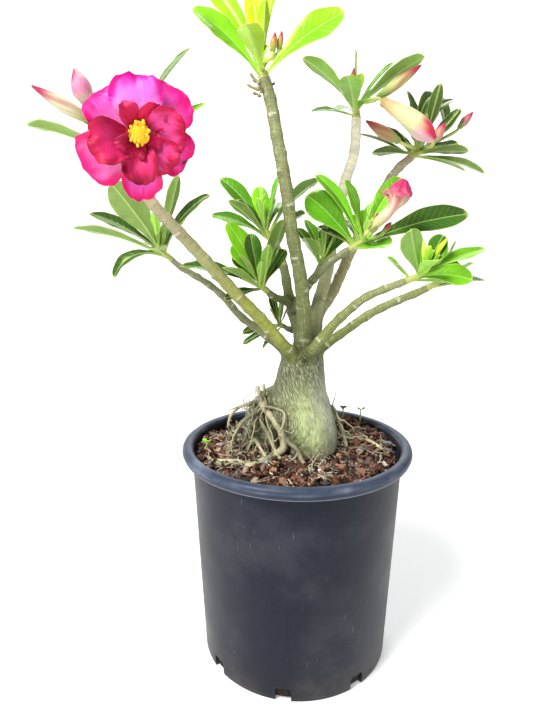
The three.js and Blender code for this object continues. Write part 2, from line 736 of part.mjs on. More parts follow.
function makeShoot({ stem, tip, leaves }) {
  const { end, direction } = stemEnd(stem);
  const foot = end.clone().addScaledVector(direction, GAP);
  const top = foot.clone().addScaledVector(direction, tip);
  const start = top.clone().addScaledVector(direction, -STALK_SUNK);
  const loads = [...Object.values(BUDS), CALYX].filter((load) => load.stem === stem);
  const stalks = loads.map((load) => stalk(start, load));
  const footRadius = 0.92 * STEMS[stem].radii.at(-1);
  const core = rod({ points: [foot.toArray(), top.toArray()], radii: [footRadius, SHOOT_END_RADIUS],
    sides: SHOOT_SIDES, step: tip / 2 });
  const blades = leaves.map((spec, k) => {
    const share = THREE.MathUtils.lerp(LOWEST_LEAF, HIGHEST_LEAF, k / (leaves.length - 1));
    const radius = THREE.MathUtils.lerp(footRadius, SHOOT_END_RADIUS, share);
    const base = foot.clone().lerp(top, share).addScaledVector(heading(spec[0]), LEAF_ROOT * radius);
    return leaf(base, spec, k);
  });
  return fuse([...blades, ...stalks, core]);
}

// Seedlings that came up in the soil: a thin stem in a plain hole, with its first leaves
// Each: where it stands, how tall it is, how far its top leans, and its leaves as for a shoot.
const SEEDLING_RADIUS = 0.7;
const SEEDLING_DEPTH = 5;
const SEEDLINGS = {
  seedling_round_leaf: {
    place: [51, 70], height: 12, lean: [-1, -3], leaves: [[-100, 50, 7, 7.5, 10, 0]],
  },
  seedling_sprout: {
    place: [65, 54], height: 14, lean: [1, 2], leaves: [[10, 30, 4.5, 3, 10, 0], [175, 35, 4, 3, 10, 0]],
  },
  seedling_green: {
    place: [-81, -6], height: 8, lean: [3, -1], leaves: [[-60, 50, 6, 5, 10, 0], [150, 40, 6, 5, 10, 0]],
  },
};

function seedlingStem({ place: [x, y], height, lean }, grow) {
  const ground = soilHeight(x, y);
  const points = [[x, y, ground - SEEDLING_DEPTH], [x, y, ground],
    [x + lean[0], y + lean[1], ground + height]];
  return rod({ points, radii: [SEEDLING_RADIUS, SEEDLING_RADIUS], sides: 4, step: height / 2, grow });
}

function makeSeedling(seedling) {
  const { place: [x, y], height, lean, leaves } = seedling;
  const top = point([x + lean[0], y + lean[1], soilHeight(x, y) + height - SEEDLING_RADIUS]);
  return fuse([seedlingStem(seedling, 0), ...leaves.map((spec, k) => leaf(top, spec, k))]);
}

// The flower: two rings of petals grown together on one tube, a yellow throat, and a green calyx behind

// Each petal: angle round the flower, rise to the front, length, width, bend back, twist, cup, and how far
// in front of its neighbours it starts.
const PETALS = [
  [142, 14, 32, 29, 35, 10, 0.1, 0],
  [42, 14, 34, 31, 35, -10, 0.1, 0],
  [-25, 16, 31, 28, 40, 10, 0.1, 0],
  [-150, 18, 37, 33, 40, -10, 0.1, 0],
  [-89, 14, 36, 24, 35, 0, 0.15, 0],
  [92, 22, 31, 33, 40, 0, 0.1, 1],
  [193, 50, 30, 28, 50, 12, 0.25, 0],
  [60, 58, 21, 16, 50, 12, 0.3, 0],
  [8, 48, 27, 30, 45, 12, 0.25, 0],
  [-42, 40, 26, 22, 35, 12, 0.25, 0],
  [-90, 50, 29, 22, 40, 12, 0.3, 0],
];
const PETAL_STATIONS = [0, 0.36, 0.66, 0.9, 1];
const PETAL_FOOT = 3.4; // distance from the flower's axis to where a petal starts
const PETAL_SUNK = 3.4; // how far below the tube's mouth a petal starts

// The flower's own frame: +Z out of its face, +Y up and +X to the viewer's right.
function flowerFrame() {
  const out = point(FLOWER_FACING).normalize();
  const right = new THREE.Vector3(0, 0, 1).cross(out).normalize();
  const up = out.clone().cross(right);
  return new THREE.Matrix4().makeBasis(right, up, out).setPosition(...FLOWER_CENTRE);
}

function inFlowerFrame(geometry) {
  return solidOf(geometry.applyMatrix4(flowerFrame()));
}

// A cup, tube or bell round the flower's axis, from a closed outline of radius and height.
function turned(outline, segments) {
  const profile = outline.map(([radius, z]) => new THREE.Vector2(radius, z));
  return inFlowerFrame(new THREE.LatheGeometry(profile, segments).rotateX(Math.PI / 2));
}

function makeCorolla() {
  const petals = PETALS.map(([azimuth, elevation, length, width, arch, twist, cup, lift], k) => {
    const base = heading(azimuth).multiplyScalar(PETAL_FOOT);
    base.z = lift - PETAL_SUNK;
    const grid = bladeGrid({ base, azimuth, elevation, length, width, arch, twist, cup, wave: 0.07 * width,
      waves: 1.6, phase: 2.1 * k, outline: petalOutline, stations: PETAL_STATIONS, columns: 4 });
    return inFlowerFrame(slab(grid, PETAL_THICKNESS));
  });
  const tube = turned([[0, -TUBE_LENGTH], [2.6, -TUBE_LENGTH], [4.4, -10], [6, -2], [0, -3]], 8);
  return fuse([tube, ...petals]);
}

// The throat stands on the mouth of the tube, between the feet of the petals.
function makeThroat() {
  return turned([[0, -2.4], [2.2, -2.3], [3.2, 0.6], [4.4, 4.6], [3.7, 7.8], [0, 9]], 9);
}

function makeCalyx() {
  return rod({ points: CALYX.points, radii: [2, 4, 4.4], sides: BUD_SIDES, step: CALYX_LENGTH / 2 });
}

// Assembly

const plant = new THREE.Group();
const pot = makePot();
const seedlingHoles = Object.values(SEEDLINGS).map((seedling) => seedlingStem(seedling, HOLE_CLEARANCE));
const holes = fuse([makeFoot(HOLE_CLEARANCE), ...seedlingHoles]);
const soil = largestBody(fuse([makeSoilBody(), ...makeChips()]).subtract(holes)).asOriginal().simplify(SLIVER);
plant.add(makeMesh("pot", pot, POT_PLASTIC));
plant.add(makeMesh("soil", soil, SOIL_BARK));
plant.add(makeMesh("caudex_and_stems", makePlant(), GREY_BARK));
for (const [name, shoot] of Object.entries(SHOOTS)) {
  plant.add(makeMesh(name, makeShoot(shoot), LEAF_GREEN));
}
plant.add(makeMesh("flower_corolla", makeCorolla(), PETAL_PINK));
plant.add(makeMesh("flower_throat", makeThroat(), THROAT_YELLOW));
plant.add(makeMesh("flower_calyx", makeCalyx(), CALYX_GREEN));
for (const [name, spec] of Object.entries(BUDS)) {
  plant.add(makeMesh(name, budSolid(spec), spec.material));
}
for (const [name, seedling] of Object.entries(SEEDLINGS)) {
  plant.add(makeMesh(name, makeSeedling(seedling), LEAF_GREEN));
}

export default plant;
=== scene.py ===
"""A desert rose (adenium) in a black nursery pot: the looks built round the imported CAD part.

Shapes are worked out in millimetres in the part's frame, and written to the meshes in metres.
The driving tables follow the part's own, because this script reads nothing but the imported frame. Some
leaves, petals and buds are turned, widened or bent a little further here, for the looks.
"""

import math

import bpy
import numpy as np
from mathutils import Matrix, Vector


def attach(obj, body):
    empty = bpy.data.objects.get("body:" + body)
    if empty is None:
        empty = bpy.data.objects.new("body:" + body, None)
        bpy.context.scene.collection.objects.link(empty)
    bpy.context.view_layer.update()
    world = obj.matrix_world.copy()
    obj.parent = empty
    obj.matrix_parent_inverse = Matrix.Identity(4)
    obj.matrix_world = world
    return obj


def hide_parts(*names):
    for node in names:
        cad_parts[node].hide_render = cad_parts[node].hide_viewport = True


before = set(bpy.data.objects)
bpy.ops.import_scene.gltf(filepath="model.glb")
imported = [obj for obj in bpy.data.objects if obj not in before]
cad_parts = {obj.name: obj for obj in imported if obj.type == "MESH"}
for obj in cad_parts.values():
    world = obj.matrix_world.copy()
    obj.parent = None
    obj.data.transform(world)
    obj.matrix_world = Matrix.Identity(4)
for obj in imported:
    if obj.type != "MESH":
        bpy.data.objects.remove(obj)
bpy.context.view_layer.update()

MM = 0.001
TAU = 2 * math.pi
UP = np.array([0, 0, 1.0])
GOLDEN_ANGLE = 137.5


# Noise and small numeric helpers

def smoothstep(low, high, value):
    share = np.clip((value - low) / (high - low), 0, 1)
    return share * share * (3 - 2 * share)


def bell(value, width):
    """A bump of height 1 where the value is 0, that fades over `width`."""
    return np.exp(-(value / width) ** 2)


def unit(vectors):
    vectors = np.asarray(vectors, float)
    return vectors / np.maximum(np.linalg.norm(vectors, axis=-1, keepdims=True), 1e-12)


def heading(degrees):
    return np.array([math.cos(math.radians(degrees)), math.sin(math.radians(degrees)), 0.0])


def stacked(*parts):
    """Triples from an array or a number for each of their coordinates."""
    return np.stack(np.broadcast_arrays(*parts), axis=-1)


# Large odd numbers that scatter the cells' numbers, and the mask that keeps the result positive
CELL_FACTORS = np.array([374761393, 668265263, 1274126177])
SEED_FACTOR = 97531
MIX_FACTORS = (1103515245, 69069)
MASK = 0x7FFFFFFF


def hashed(cells, seed):
    """A steady draw between 0 and 1 for each whole-numbered cell."""
    mixed = (cells.astype(np.int64) * CELL_FACTORS).sum(-1) + seed * SEED_FACTOR
    mixed = (mixed ^ (mixed >> 13)) * MIX_FACTORS[0] & MASK
    mixed = (mixed ^ (mixed >> 16)) * MIX_FACTORS[1] & MASK
    return mixed / float(MASK)


def value_noise(points, size, seed):
    """Smooth noise between -1 and 1, whose bumps are about `size` millimetres across."""
    places = np.asarray(points, float) / size
    cells = np.floor(places)
    share = places - cells
    share = share * share * (3 - 2 * share)
    total = 0.0
    for corner in np.ndindex(2, 2, 2):
        weight = np.prod(np.where(np.array(corner) == 1, share, 1 - share), axis=-1)
        total = total + weight * hashed(cells + np.array(corner), seed)
    return 2 * total - 1


def layered_noise(points, size, seed, layers=3):
    total, strength, whole = 0.0, 1.0, 0.0
    for layer in range(layers):
        total = total + strength * value_noise(points, size / 2 ** layer, seed + layer)
        whole += strength
        strength *= 0.5
    return total / whole


def mix(first, second, share):
    share = np.asarray(share, float)[..., None]
    return np.asarray(first, float) * (1 - share) + np.asarray(second, float) * share


def colour(code):
    """The linear colour of a screen colour such as 8fa060."""
    parts = np.array([int(code[k:k + 2], 16) / 255 for k in (0, 2, 4)])
    return np.where(parts <= 0.04045, parts / 12.92, ((parts + 0.055) / 1.055) ** 2.4)


def washed(tint, *washes):
    """A tint with colours laid over it in turn, each given as its code and its share."""
    for code, share in washes:
        tint = mix(tint, colour(code), share)
    return tint


# Smooth curves, the same as the part's own

def smooth_curve(points, count):
    """Points evenly spaced along a centripetal Catmull-Rom curve through the given points."""
    points = np.asarray(points, float)
    padded = np.vstack([2 * points[0] - points[1], points, 2 * points[-1] - points[-2]])
    share = np.linspace(0, 1, 24, endpoint=False)[:, None]
    spans = []
    for k in range(len(points) - 1):
        p0, p1, p2, p3 = padded[k:k + 4]
        d0, d1, d2 = (max(np.linalg.norm(b - a), 1e-9) ** 0.5 for a, b in ((p0, p1), (p1, p2), (p2, p3)))
        t1 = ((p1 - p0) / d0 - (p2 - p0) / (d0 + d1) + (p2 - p1) / d1) * d1
        t2 = ((p2 - p1) / d1 - (p3 - p1) / (d1 + d2) + (p3 - p2) / d2) * d1
        spans.append(p1 + t1 * share + (3 * (p2 - p1) - 2 * t1 - t2) * share ** 2
                     + (2 * (p1 - p2) + t1 + t2) * share ** 3)
    return spaced(np.vstack(spans + [points[-1:]]), count)


def lengths_along(points):
    """How far along a polyline each of its points is."""
    return np.concatenate([[0], np.cumsum(np.linalg.norm(np.diff(points, axis=0), axis=1))])


def spaced(dense, count):
    """Points evenly spaced along a polyline."""
    lengths = lengths_along(dense)
    wanted = np.linspace(0, lengths[-1], count)
    return np.stack([np.interp(wanted, lengths, dense[:, axis]) for axis in range(3)], axis=1)


def curve_length(points):
    return float(np.linalg.norm(np.diff(points, axis=0), axis=1).sum())


def along(values, shares):
    """Values at shares (0 to 1) of an evenly spaced list."""
    return np.interp(np.asarray(shares, float) * (len(values) - 1), np.arange(len(values)), values)


def frames_along(path):
    """Tangents and two cross directions along a path, without needless twist."""
    tangents = unit(np.gradient(path, axis=0))
    helper = np.eye(3)[np.argmin(np.abs(tangents[0]))]
    sides = [unit(helper - tangents[0] * (helper @ tangents[0]))]
    for tangent in tangents[1:]:
        sides.append(unit(sides[-1] - tangent * (sides[-1] @ tangent)))
    sides = np.array(sides)
    return tangents, sides, np.cross(tangents, sides)


# Forms: points with a colour and a grain, and faces, before they become a Blender mesh

def form(points, faces, tint, grain=None):
    points = np.asarray(points, float).reshape(-1, 3)
    tint = np.broadcast_to(np.asarray(tint, float), points.shape).copy()
    grain = np.zeros_like(points) if grain is None else np.asarray(grain, float).reshape(-1, 3)
    faces = [np.asarray(block, int) for block in faces]
    return {"points": points, "faces": faces, "tint": tint, "grain": grain}


def joined(forms):
    faces, start = [], 0
    for each in forms:
        faces += [block + start for block in each["faces"]]
        start += len(each["points"])
    whole = {key: np.vstack([each[key] for each in forms]) for key in ("points", "tint", "grain")}
    return {**whole, "faces": faces}


def grid_faces(rows, columns, closed=False, flip=False):
    """Quads of a grid of points that is numbered row by row, joined up crosswise where closed."""
    across = columns if closed else columns - 1
    row, column = np.meshgrid(np.arange(rows - 1), np.arange(across), indexing="ij")
    after = (column + 1) % columns
    quads = np.stack([row * columns + column, row * columns + after,
                      (row + 1) * columns + after, (row + 1) * columns + column], axis=-1).reshape(-1, 4)
    return quads[:, ::-1] if flip else quads


def ring_angles(sides):
    return np.arange(sides) * TAU / sides


def about_z(radii, angles, heights):
    """Points at radii and angles round the vertical axis."""
    return stacked(radii * np.cos(angles), radii * np.sin(angles), heights)


def ring_faces(rings, sides, flip=False):
    """Quads between rings of points, and a fan at each end, to two end points numbered after the rings."""
    ring = np.arange(sides)
    after = (ring + 1) % sides
    last, ends = (rings - 1) * sides, rings * sides
    fans = [np.stack([after, ring, np.full(sides, ends)], axis=1),
            np.stack([last + ring, last + after, np.full(sides, ends + 1)], axis=1)]
    if flip:
        fans = [fan[:, [1, 0, 2]] for fan in fans]
    return [grid_faces(rings, sides, closed=True, flip=flip), *fans]


def with_ends(values, first=None, last=None):
    """Values for rings of points as one list, and then those of the two end points."""
    first = values[0, :1] if first is None else [first]
    last = values[-1, :1] if last is None else [last]
    return np.vstack([values.reshape(-1, values.shape[-1]), first, last])


def ring_tint(tint, rings, sides):
    """A tint for all, or for each ring or each point of each ring, made ready for the rings' points."""
    tint = np.asarray(tint, float)
    if tint.ndim == 2 and len(tint) == rings:
        tint = np.repeat(tint[:, None], sides, axis=1)
    return tint if tint.ndim < 3 else with_ends(tint)


def tube(path, radii, sides, tint, seed=0.0):
    """A closed round tube along a path; `radii` holds a radius for each point, or for each of its sides."""
    path = np.asarray(path, float)
    tangents, side, over = frames_along(path)
    angles = ring_angles(sides)
    radii = np.asarray(radii, float)
    if radii.ndim == 1:
        radii = np.repeat(radii[:, None], sides, axis=1)
    rings = path[:, None] + radii[..., None] * (np.cos(angles)[None, :, None] * side[:, None]
                                                + np.sin(angles)[None, :, None] * over[:, None])
    lengths = lengths_along(path)
    points = with_ends(rings, path[0] - tangents[0] * 0.35 * radii[0].mean(),
                       path[-1] + tangents[-1] * 0.35 * radii[-1].mean())
    grain = with_ends(stacked(lengths[:, None], angles * radii, seed), [0, 0, seed], [lengths[-1], 0, seed])
    return form(points, ring_faces(len(path), sides), ring_tint(tint, len(path), sides), grain)


def moved(each, matrix):
    turned = np.array(matrix)
    each["points"] = each["points"] @ turned[:3, :3].T + turned[:3, 3]
    return each


def added(name, data):
    """A new object in the scene."""
    thing = bpy.data.objects.new(name, data)
    bpy.context.scene.collection.objects.link(thing)
    return thing


def evaluated_mesh(thing):
    """A new mesh of an object's shape after its modifiers."""
    graph = bpy.context.evaluated_depsgraph_get()
    return bpy.data.meshes.new_from_object(thing.evaluated_get(graph))


def read_mesh(items, key, width, kind=float):
    """Values of a mesh's points, corners or edges, in rows of `width`."""
    values = np.empty(len(items) * width, kind)
    items.foreach_get(key, values)
    return values.reshape(-1, width)


def make_piece(name, shape, material, smooth=True):
    mesh = bpy.data.meshes.new(name)
    faces = [face for block in shape["faces"] for face in block.tolist()]
    mesh.from_pydata((shape["points"] * MM).tolist(), [], faces)
    mesh.update()
    tint = np.hstack([shape["tint"], np.ones((len(shape["tint"]), 1))])
    for name_of_it, kind, key, values in (("tint", "FLOAT_COLOR", "color", tint),
                                          ("grain", "FLOAT_VECTOR", "vector", shape["grain"])):
        layer = mesh.attributes.new(name_of_it, kind, "POINT")
        layer.data.foreach_set(key, values.astype(np.float32).ravel())
    mesh.polygons.foreach_set("use_smooth", np.full(len(mesh.polygons), smooth))
    mesh.materials.append(material)
    return added(name, mesh)


def settle(piece, slot, *nodes):
    """The piece rides on the one body and stands for CAD nodes; `slot` is not used."""
    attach(piece, "root")
    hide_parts(*nodes)


# Materials

def rgba(code):
    return (*colour(code), 1.0)


class Wiring:
    """One material under construction: each method adds a node and returns the socket it gives."""

    def __init__(self, name):
        self.material = bpy.data.materials.new(name)
        self.material.use_nodes = True
        self.tree = self.material.node_tree
        self.tree.nodes.clear()

    def node(self, kind, inputs, **settings):
        made = self.tree.nodes.new(kind)
        for key, value in settings.items():
            setattr(made, key, value)
        for key, value in inputs.items():
            if isinstance(value, bpy.types.NodeSocket):
                self.tree.links.new(value, made.inputs[key])
            else:
                made.inputs[key].default_value = value
        return made

    def tint(self):
        return self.node("ShaderNodeAttribute", {}, attribute_name="tint").outputs["Color"]

    def grain(self):
        return self.node("ShaderNodeAttribute", {}, attribute_name="grain").outputs["Vector"]

    def place(self):
        return self.node("ShaderNodeTexCoord", {}).outputs["Object"]

    def stretched(self, vector, x, y, z=1.0):
        return self.node("ShaderNodeVectorMath", {0: vector, 1: (x, y, z)}, operation="MULTIPLY").outputs[0]

    def parts(self, vector):
        return self.node("ShaderNodeSeparateXYZ", {0: vector}).outputs

    def noise(self, vector, scale, detail=3.0, roughness=0.55):
        inputs = {"Vector": vector, "Scale": scale, "Detail": detail, "Roughness": roughness}
        return self.node("ShaderNodeTexNoise", inputs).outputs[0]

    def streaks(self, vector, x, y, detail=3.0, roughness=0.6, z=1.0):
        """Noise drawn out into streaks: the smaller of x and y is the way that they run."""
        return self.noise(self.stretched(vector, x, y, z), 1.0, detail, roughness)

    def math(self, operation, first, second=0.0, third=0.0):
        return self.node("ShaderNodeMath", {0: first, 1: second, 2: third}, operation=operation).outputs[0]

    def times(self, first, second):
        return self.math("MULTIPLY", first, second)

    def span(self, value, low, high, to_low=0.0, to_high=1.0, smooth=True):
        inputs = {"Value": value, "From Min": low, "From Max": high, "To Min": to_low, "To Max": to_high}
        kind = "SMOOTHSTEP" if smooth else "LINEAR"
        return self.node("ShaderNodeMapRange", inputs, interpolation_type=kind).outputs[0]

    def from_noise(self, value, low, high):
        """A number that runs from low to high with the middle of a noise's range."""
        return self.span(value, 0.3, 0.7, low, high, smooth=False)

    def blend(self, share, first, second, way="MIX"):
        inputs = {0: share, 6: first, 7: second}
        made = self.node("ShaderNodeMix", inputs, data_type="RGBA", blend_type=way, clamp_factor=True)
        return made.outputs[2]

    def shaded(self, base, value, low, high):
        """A colour times a grey that runs from low to high as the value runs from 0 to 1."""
        grey = self.blend(value, (low, low, low, 1), (high, high, high, 1))
        return self.blend(1.0, base, grey, "MULTIPLY")

    def wash(self, base, share, code, most=None):
        """Another colour laid over the base, by a share, or by `most` times the share."""
        return self.blend(share if most is None else self.times(share, most), base, rgba(code))

    def patches(self, base, value, low, high, most, code, where=None):
        """Patches of a colour laid over the base, where the value lies past low, and inside `where`."""
        share = self.span(value, low, high, 0.0, most)
        return self.wash(base, share, code, where)

    def edge_on(self, low, high, most):
        """A share that grows where the surface is seen edge on."""
        facing = self.node("ShaderNodeLayerWeight", {"Blend": 0.5}).outputs["Facing"]
        return self.span(facing, low, high, 0.0, most)

    def bump(self, height, distance, strength, before=None):
        inputs = {"Height": height, "Distance": distance, "Strength": strength}
        if before is not None:
            inputs["Normal"] = before
        return self.node("ShaderNodeBump", inputs).outputs[0]

    def finish(self, base, roughness, normal=None, **constants):
        inputs = {"Base Color": base, "Roughness": roughness}
        inputs.update({key.replace("_", " "): value for key, value in constants.items()})
        if normal is not None:
            inputs["Normal"] = normal
        shader = self.node("ShaderNodeBsdfPrincipled", inputs)
        self.node("ShaderNodeOutputMaterial", {"Surface": shader.outputs[0]})
        return self.material


VEIN_SPACING = 5.2
VEIN_LEAN = 0.85


def leaf_material():
    """Glossy leaf: pale midrib, fine side veins and thin yellow edge, by each point's place on its blade."""
    w = Wiring("leaf_green")
    lengthwise, crosswise, half = w.parts(w.grain())[:3]
    aside = w.math("ABSOLUTE", crosswise)
    inside = w.math("SUBTRACT", half, aside)
    vein_place = w.math("MULTIPLY_ADD", aside, -VEIN_LEAN, lengthwise)
    vein_share = w.math("PINGPONG", w.math("DIVIDE", vein_place, VEIN_SPACING), 0.5)
    vein = w.times(w.span(vein_share, 0.02, 0.13, 1.0, 0.0), w.span(inside, 0.5, 3.0))
    mottle = w.noise(w.place(), 90.0)
    fine = w.noise(w.place(), 900.0, 2.0)
    base = w.shaded(w.tint(), mottle, 0.72, 1.26)
    base = w.wash(base, fine, "dfe9a0", 0.07)
    base = w.wash(base, vein, "cfe08a", 0.06)
    base = w.wash(base, w.span(inside, 0.25, 0.95, 1.0, 0.0), "d2dc6e", 0.42)
    base = w.wash(base, w.span(aside, 0.2, 0.75, 1.0, 0.0), "c4dc80", 0.48)
    relief = w.math("SUBTRACT", w.times(mottle, 0.9), w.times(vein, 0.08))
    normal = w.bump(fine, 0.0001, 0.5, w.bump(relief, 0.0012, 0.6))
    return w.finish(base, w.from_noise(mottle, 0.16, 0.28), normal, IOR=1.45, Specular_IOR_Level=0.48,
                    Specular_Tint=(0.85, 1.0, 0.42, 1.0))


def bark_material():
    """Smooth half-matt bark: pale and dark streaks, hairline cracks and specks, and painted shade along its
    outline, where it is seen edge on.

    The streaks run lengthwise, with short dashes on the caudex and rings on the stems. The grain's third
    part tells them apart: 1 on the caudex, 2 and over on stems and roots.
    """
    w = Wiring("grey_bark_skin")
    grain = w.grain()
    cracks = {"Vector": w.stretched(grain, 0.16, 0.34), "Scale": 1.0}
    net = w.node("ShaderNodeTexVoronoi", cracks, feature="DISTANCE_TO_EDGE").outputs["Distance"]
    hairline = w.span(net, 0.0, 0.07, 1.0, 0.0)
    on_caudex = w.span(w.parts(grain)[2], 1.8, 1.2)
    on_stems = w.math("SUBTRACT", 1.0, on_caudex)
    streak = w.streaks(grain, 0.07, 0.9, 4.0)
    dash = w.streaks(grain, 0.2, 1.25)
    ring = w.streaks(grain, 1.1, 0.12, 2.0)
    speck = w.noise(w.place(), 1300.0)
    patch = w.noise(w.place(), 70.0)
    base = w.shaded(w.tint(), patch, 0.78, 1.22)
    base = w.patches(base, streak, 0.52, 0.72, 0.42, "d6d3b8")
    base = w.patches(base, streak, 0.46, 0.3, 0.28, "4d4a33")
    base = w.wash(base, hairline, "c9c4a4", 0.12)
    base = w.patches(base, ring, 0.52, 0.72, 0.34, "d0cdac", on_stems)
    base = w.patches(base, ring, 0.47, 0.3, 0.34, "4a4a2e", on_stems)
    base = w.patches(base, dash, 0.52, 0.66, 0.62, "edf2da", on_caudex)
    base = w.patches(base, dash, 0.48, 0.34, 0.66, "4a5226", on_caudex)
    base = w.patches(base, speck, 0.6, 0.75, 0.35, "ece8d6")
    base = w.patches(base, speck, 0.4, 0.28, 0.3, "3c3626")
    # painted shade: darker where the bark is seen edge on
    base = w.wash(base, w.edge_on(0.4, 0.95, 0.5), "4c4f30")
    relief = w.math("MULTIPLY_ADD", streak, 0.8, w.times(hairline, -0.35))
    relief = w.math("MULTIPLY_ADD", w.times(dash, on_caudex), 0.9, relief)
    relief = w.math("MULTIPLY_ADD", w.times(ring, on_stems), 0.35, relief)
    normal = w.bump(speck, 0.00025, 0.5, w.bump(relief, 0.0007, 0.6))
    roughness = w.math("MULTIPLY_ADD", on_caudex, -0.12, w.from_noise(patch, 0.46, 0.62))
    return w.finish(base, roughness, normal, IOR=1.42, Specular_IOR_Level=0.36,
                    Specular_Tint=(1.0, 1.0, 0.82, 1.0))


def petal_material():
    """Velvety petal: colour from its points, soft streaks that fan out from the foot, and a pale sheen."""
    w = Wiring("petal_velvet")
    streak = w.streaks(w.grain(), 0.05, 1.1)
    cloud = w.noise(w.place(), 160.0)
    base = w.shaded(w.shaded(w.tint(), streak, 0.78, 1.2), cloud, 0.85, 1.13)
    normal = w.bump(cloud, 0.0012, 0.35, w.bump(streak, 0.0006, 0.45))
    return w.finish(base, w.from_noise(cloud, 0.42, 0.6), normal, IOR=1.4, Specular_IOR_Level=0.3,
                    Sheen_Weight=0.1, Sheen_Roughness=0.4, Sheen_Tint=rgba("ffd9ec"))


def bud_material(name, roughness):
    """Satin bud skin: colour from its points, with fine lengthwise streaks."""
    w = Wiring(name)
    streak = w.streaks(w.grain(), 0.12, 1.4)
    speck = w.noise(w.place(), 900.0, 2.0)
    base = w.patches(w.shaded(w.tint(), streak, 0.74, 1.22), speck, 0.6, 0.8, 0.2, "fff6dc")
    roughness = w.from_noise(speck, roughness - 0.05, roughness + 0.12)
    return w.finish(base, roughness, w.bump(streak, 0.0005, 0.5), IOR=1.42, Sheen_Weight=0.1)


def throat_material():
    w = Wiring("throat_yellow")
    cloud = w.noise(w.place(), 700.0)
    base = w.shaded(w.tint(), cloud, 0.7, 1.2)
    return w.finish(base, w.from_noise(cloud, 0.5, 0.75), w.bump(cloud, 0.0005, 0.6), Sheen_Weight=0.2)


def pot_material():
    """Moulded black plastic, satin, with soft upright streaks, fine scratches and specks, and low dust."""
    w = Wiring("pot_black_plastic")
    grain = w.grain()
    place = w.place()
    streak = w.streaks(grain, 0.012, 0.16, 4.0)
    cloud = w.noise(place, 14.0, 4.0, 0.6)
    speck = w.noise(place, 1500.0, 2.0)
    scratch = w.span(w.streaks(grain, 0.05, 1.6, 2.0, 0.5), 0.70, 0.76)
    scuff = w.span(w.streaks(grain, 1.3, 0.04, 2.0, 0.5), 0.72, 0.78)
    marks = w.times(w.math("MAXIMUM", scratch, scuff), w.span(cloud, 0.45, 0.65))
    dust = w.times(w.span(w.parts(place)[2], 0.035, 0.0), w.span(cloud, 0.35, 0.7))
    base = w.shaded(w.tint(), streak, 0.75, 1.3)
    base = w.patches(base, cloud, 0.45, 0.75, 0.12, "7c7f86")
    base = w.wash(base, marks, "b9bcc4", 0.35)
    base = w.wash(base, dust, "8a7f70", 0.2)
    base = w.patches(base, speck, 0.66, 0.8, 0.3, "9aa0aa")
    normal = w.bump(w.math("ADD", cloud, w.times(streak, 0.3)), 0.0012, 0.25)
    normal = w.bump(speck, 0.00008, 0.5, normal)
    roughness = w.math("ADD", w.from_noise(cloud, 0.34, 0.52), w.times(marks, 0.2))
    return w.finish(base, roughness, normal, IOR=1.49, Specular_IOR_Level=0.27,
                    Specular_Tint=(0.72, 0.8, 1.0, 1.0))


def soil_material():
    """Bark chips: each piece has its own colour, with fibres along it and dust on it."""
    w = Wiring("bark_chips")
    fibre = w.streaks(w.grain(), 0.25, 1.7, 3.0, 0.65, 1.7)
    crumb = w.noise(w.place(), 800.0, 3.0, 0.7)
    base = w.patches(w.shaded(w.tint(), fibre, 0.35, 1.65), crumb, 0.58, 0.78, 0.3, "b9a088")
    normal = w.bump(crumb, 0.0005, 0.6, w.bump(fibre, 0.0008, 0.8))
    return w.finish(base, w.from_noise(crumb, 0.62, 0.9), normal, Specular_IOR_Level=0.3)


def backdrop_material():
    w = Wiring("pale_paper")
    cloud = w.noise(w.place(), 3.0, 2.0)
    base = w.blend(cloud, rgba("fafafa"), rgba("fdfdfd"))
    return w.finish(base, 0.9, Emission_Color=(1, 1, 1, 1), Emission_Strength=0.25)


LEAF = leaf_material()
BARK = bark_material()
PETAL = petal_material()
BUD = bud_material("bud_satin", 0.42)
CALYX_SKIN = bud_material("calyx_green", 0.5)
THROAT = throat_material()
POT_PLASTIC = pot_material()
SOIL = soil_material()


# Driving tables

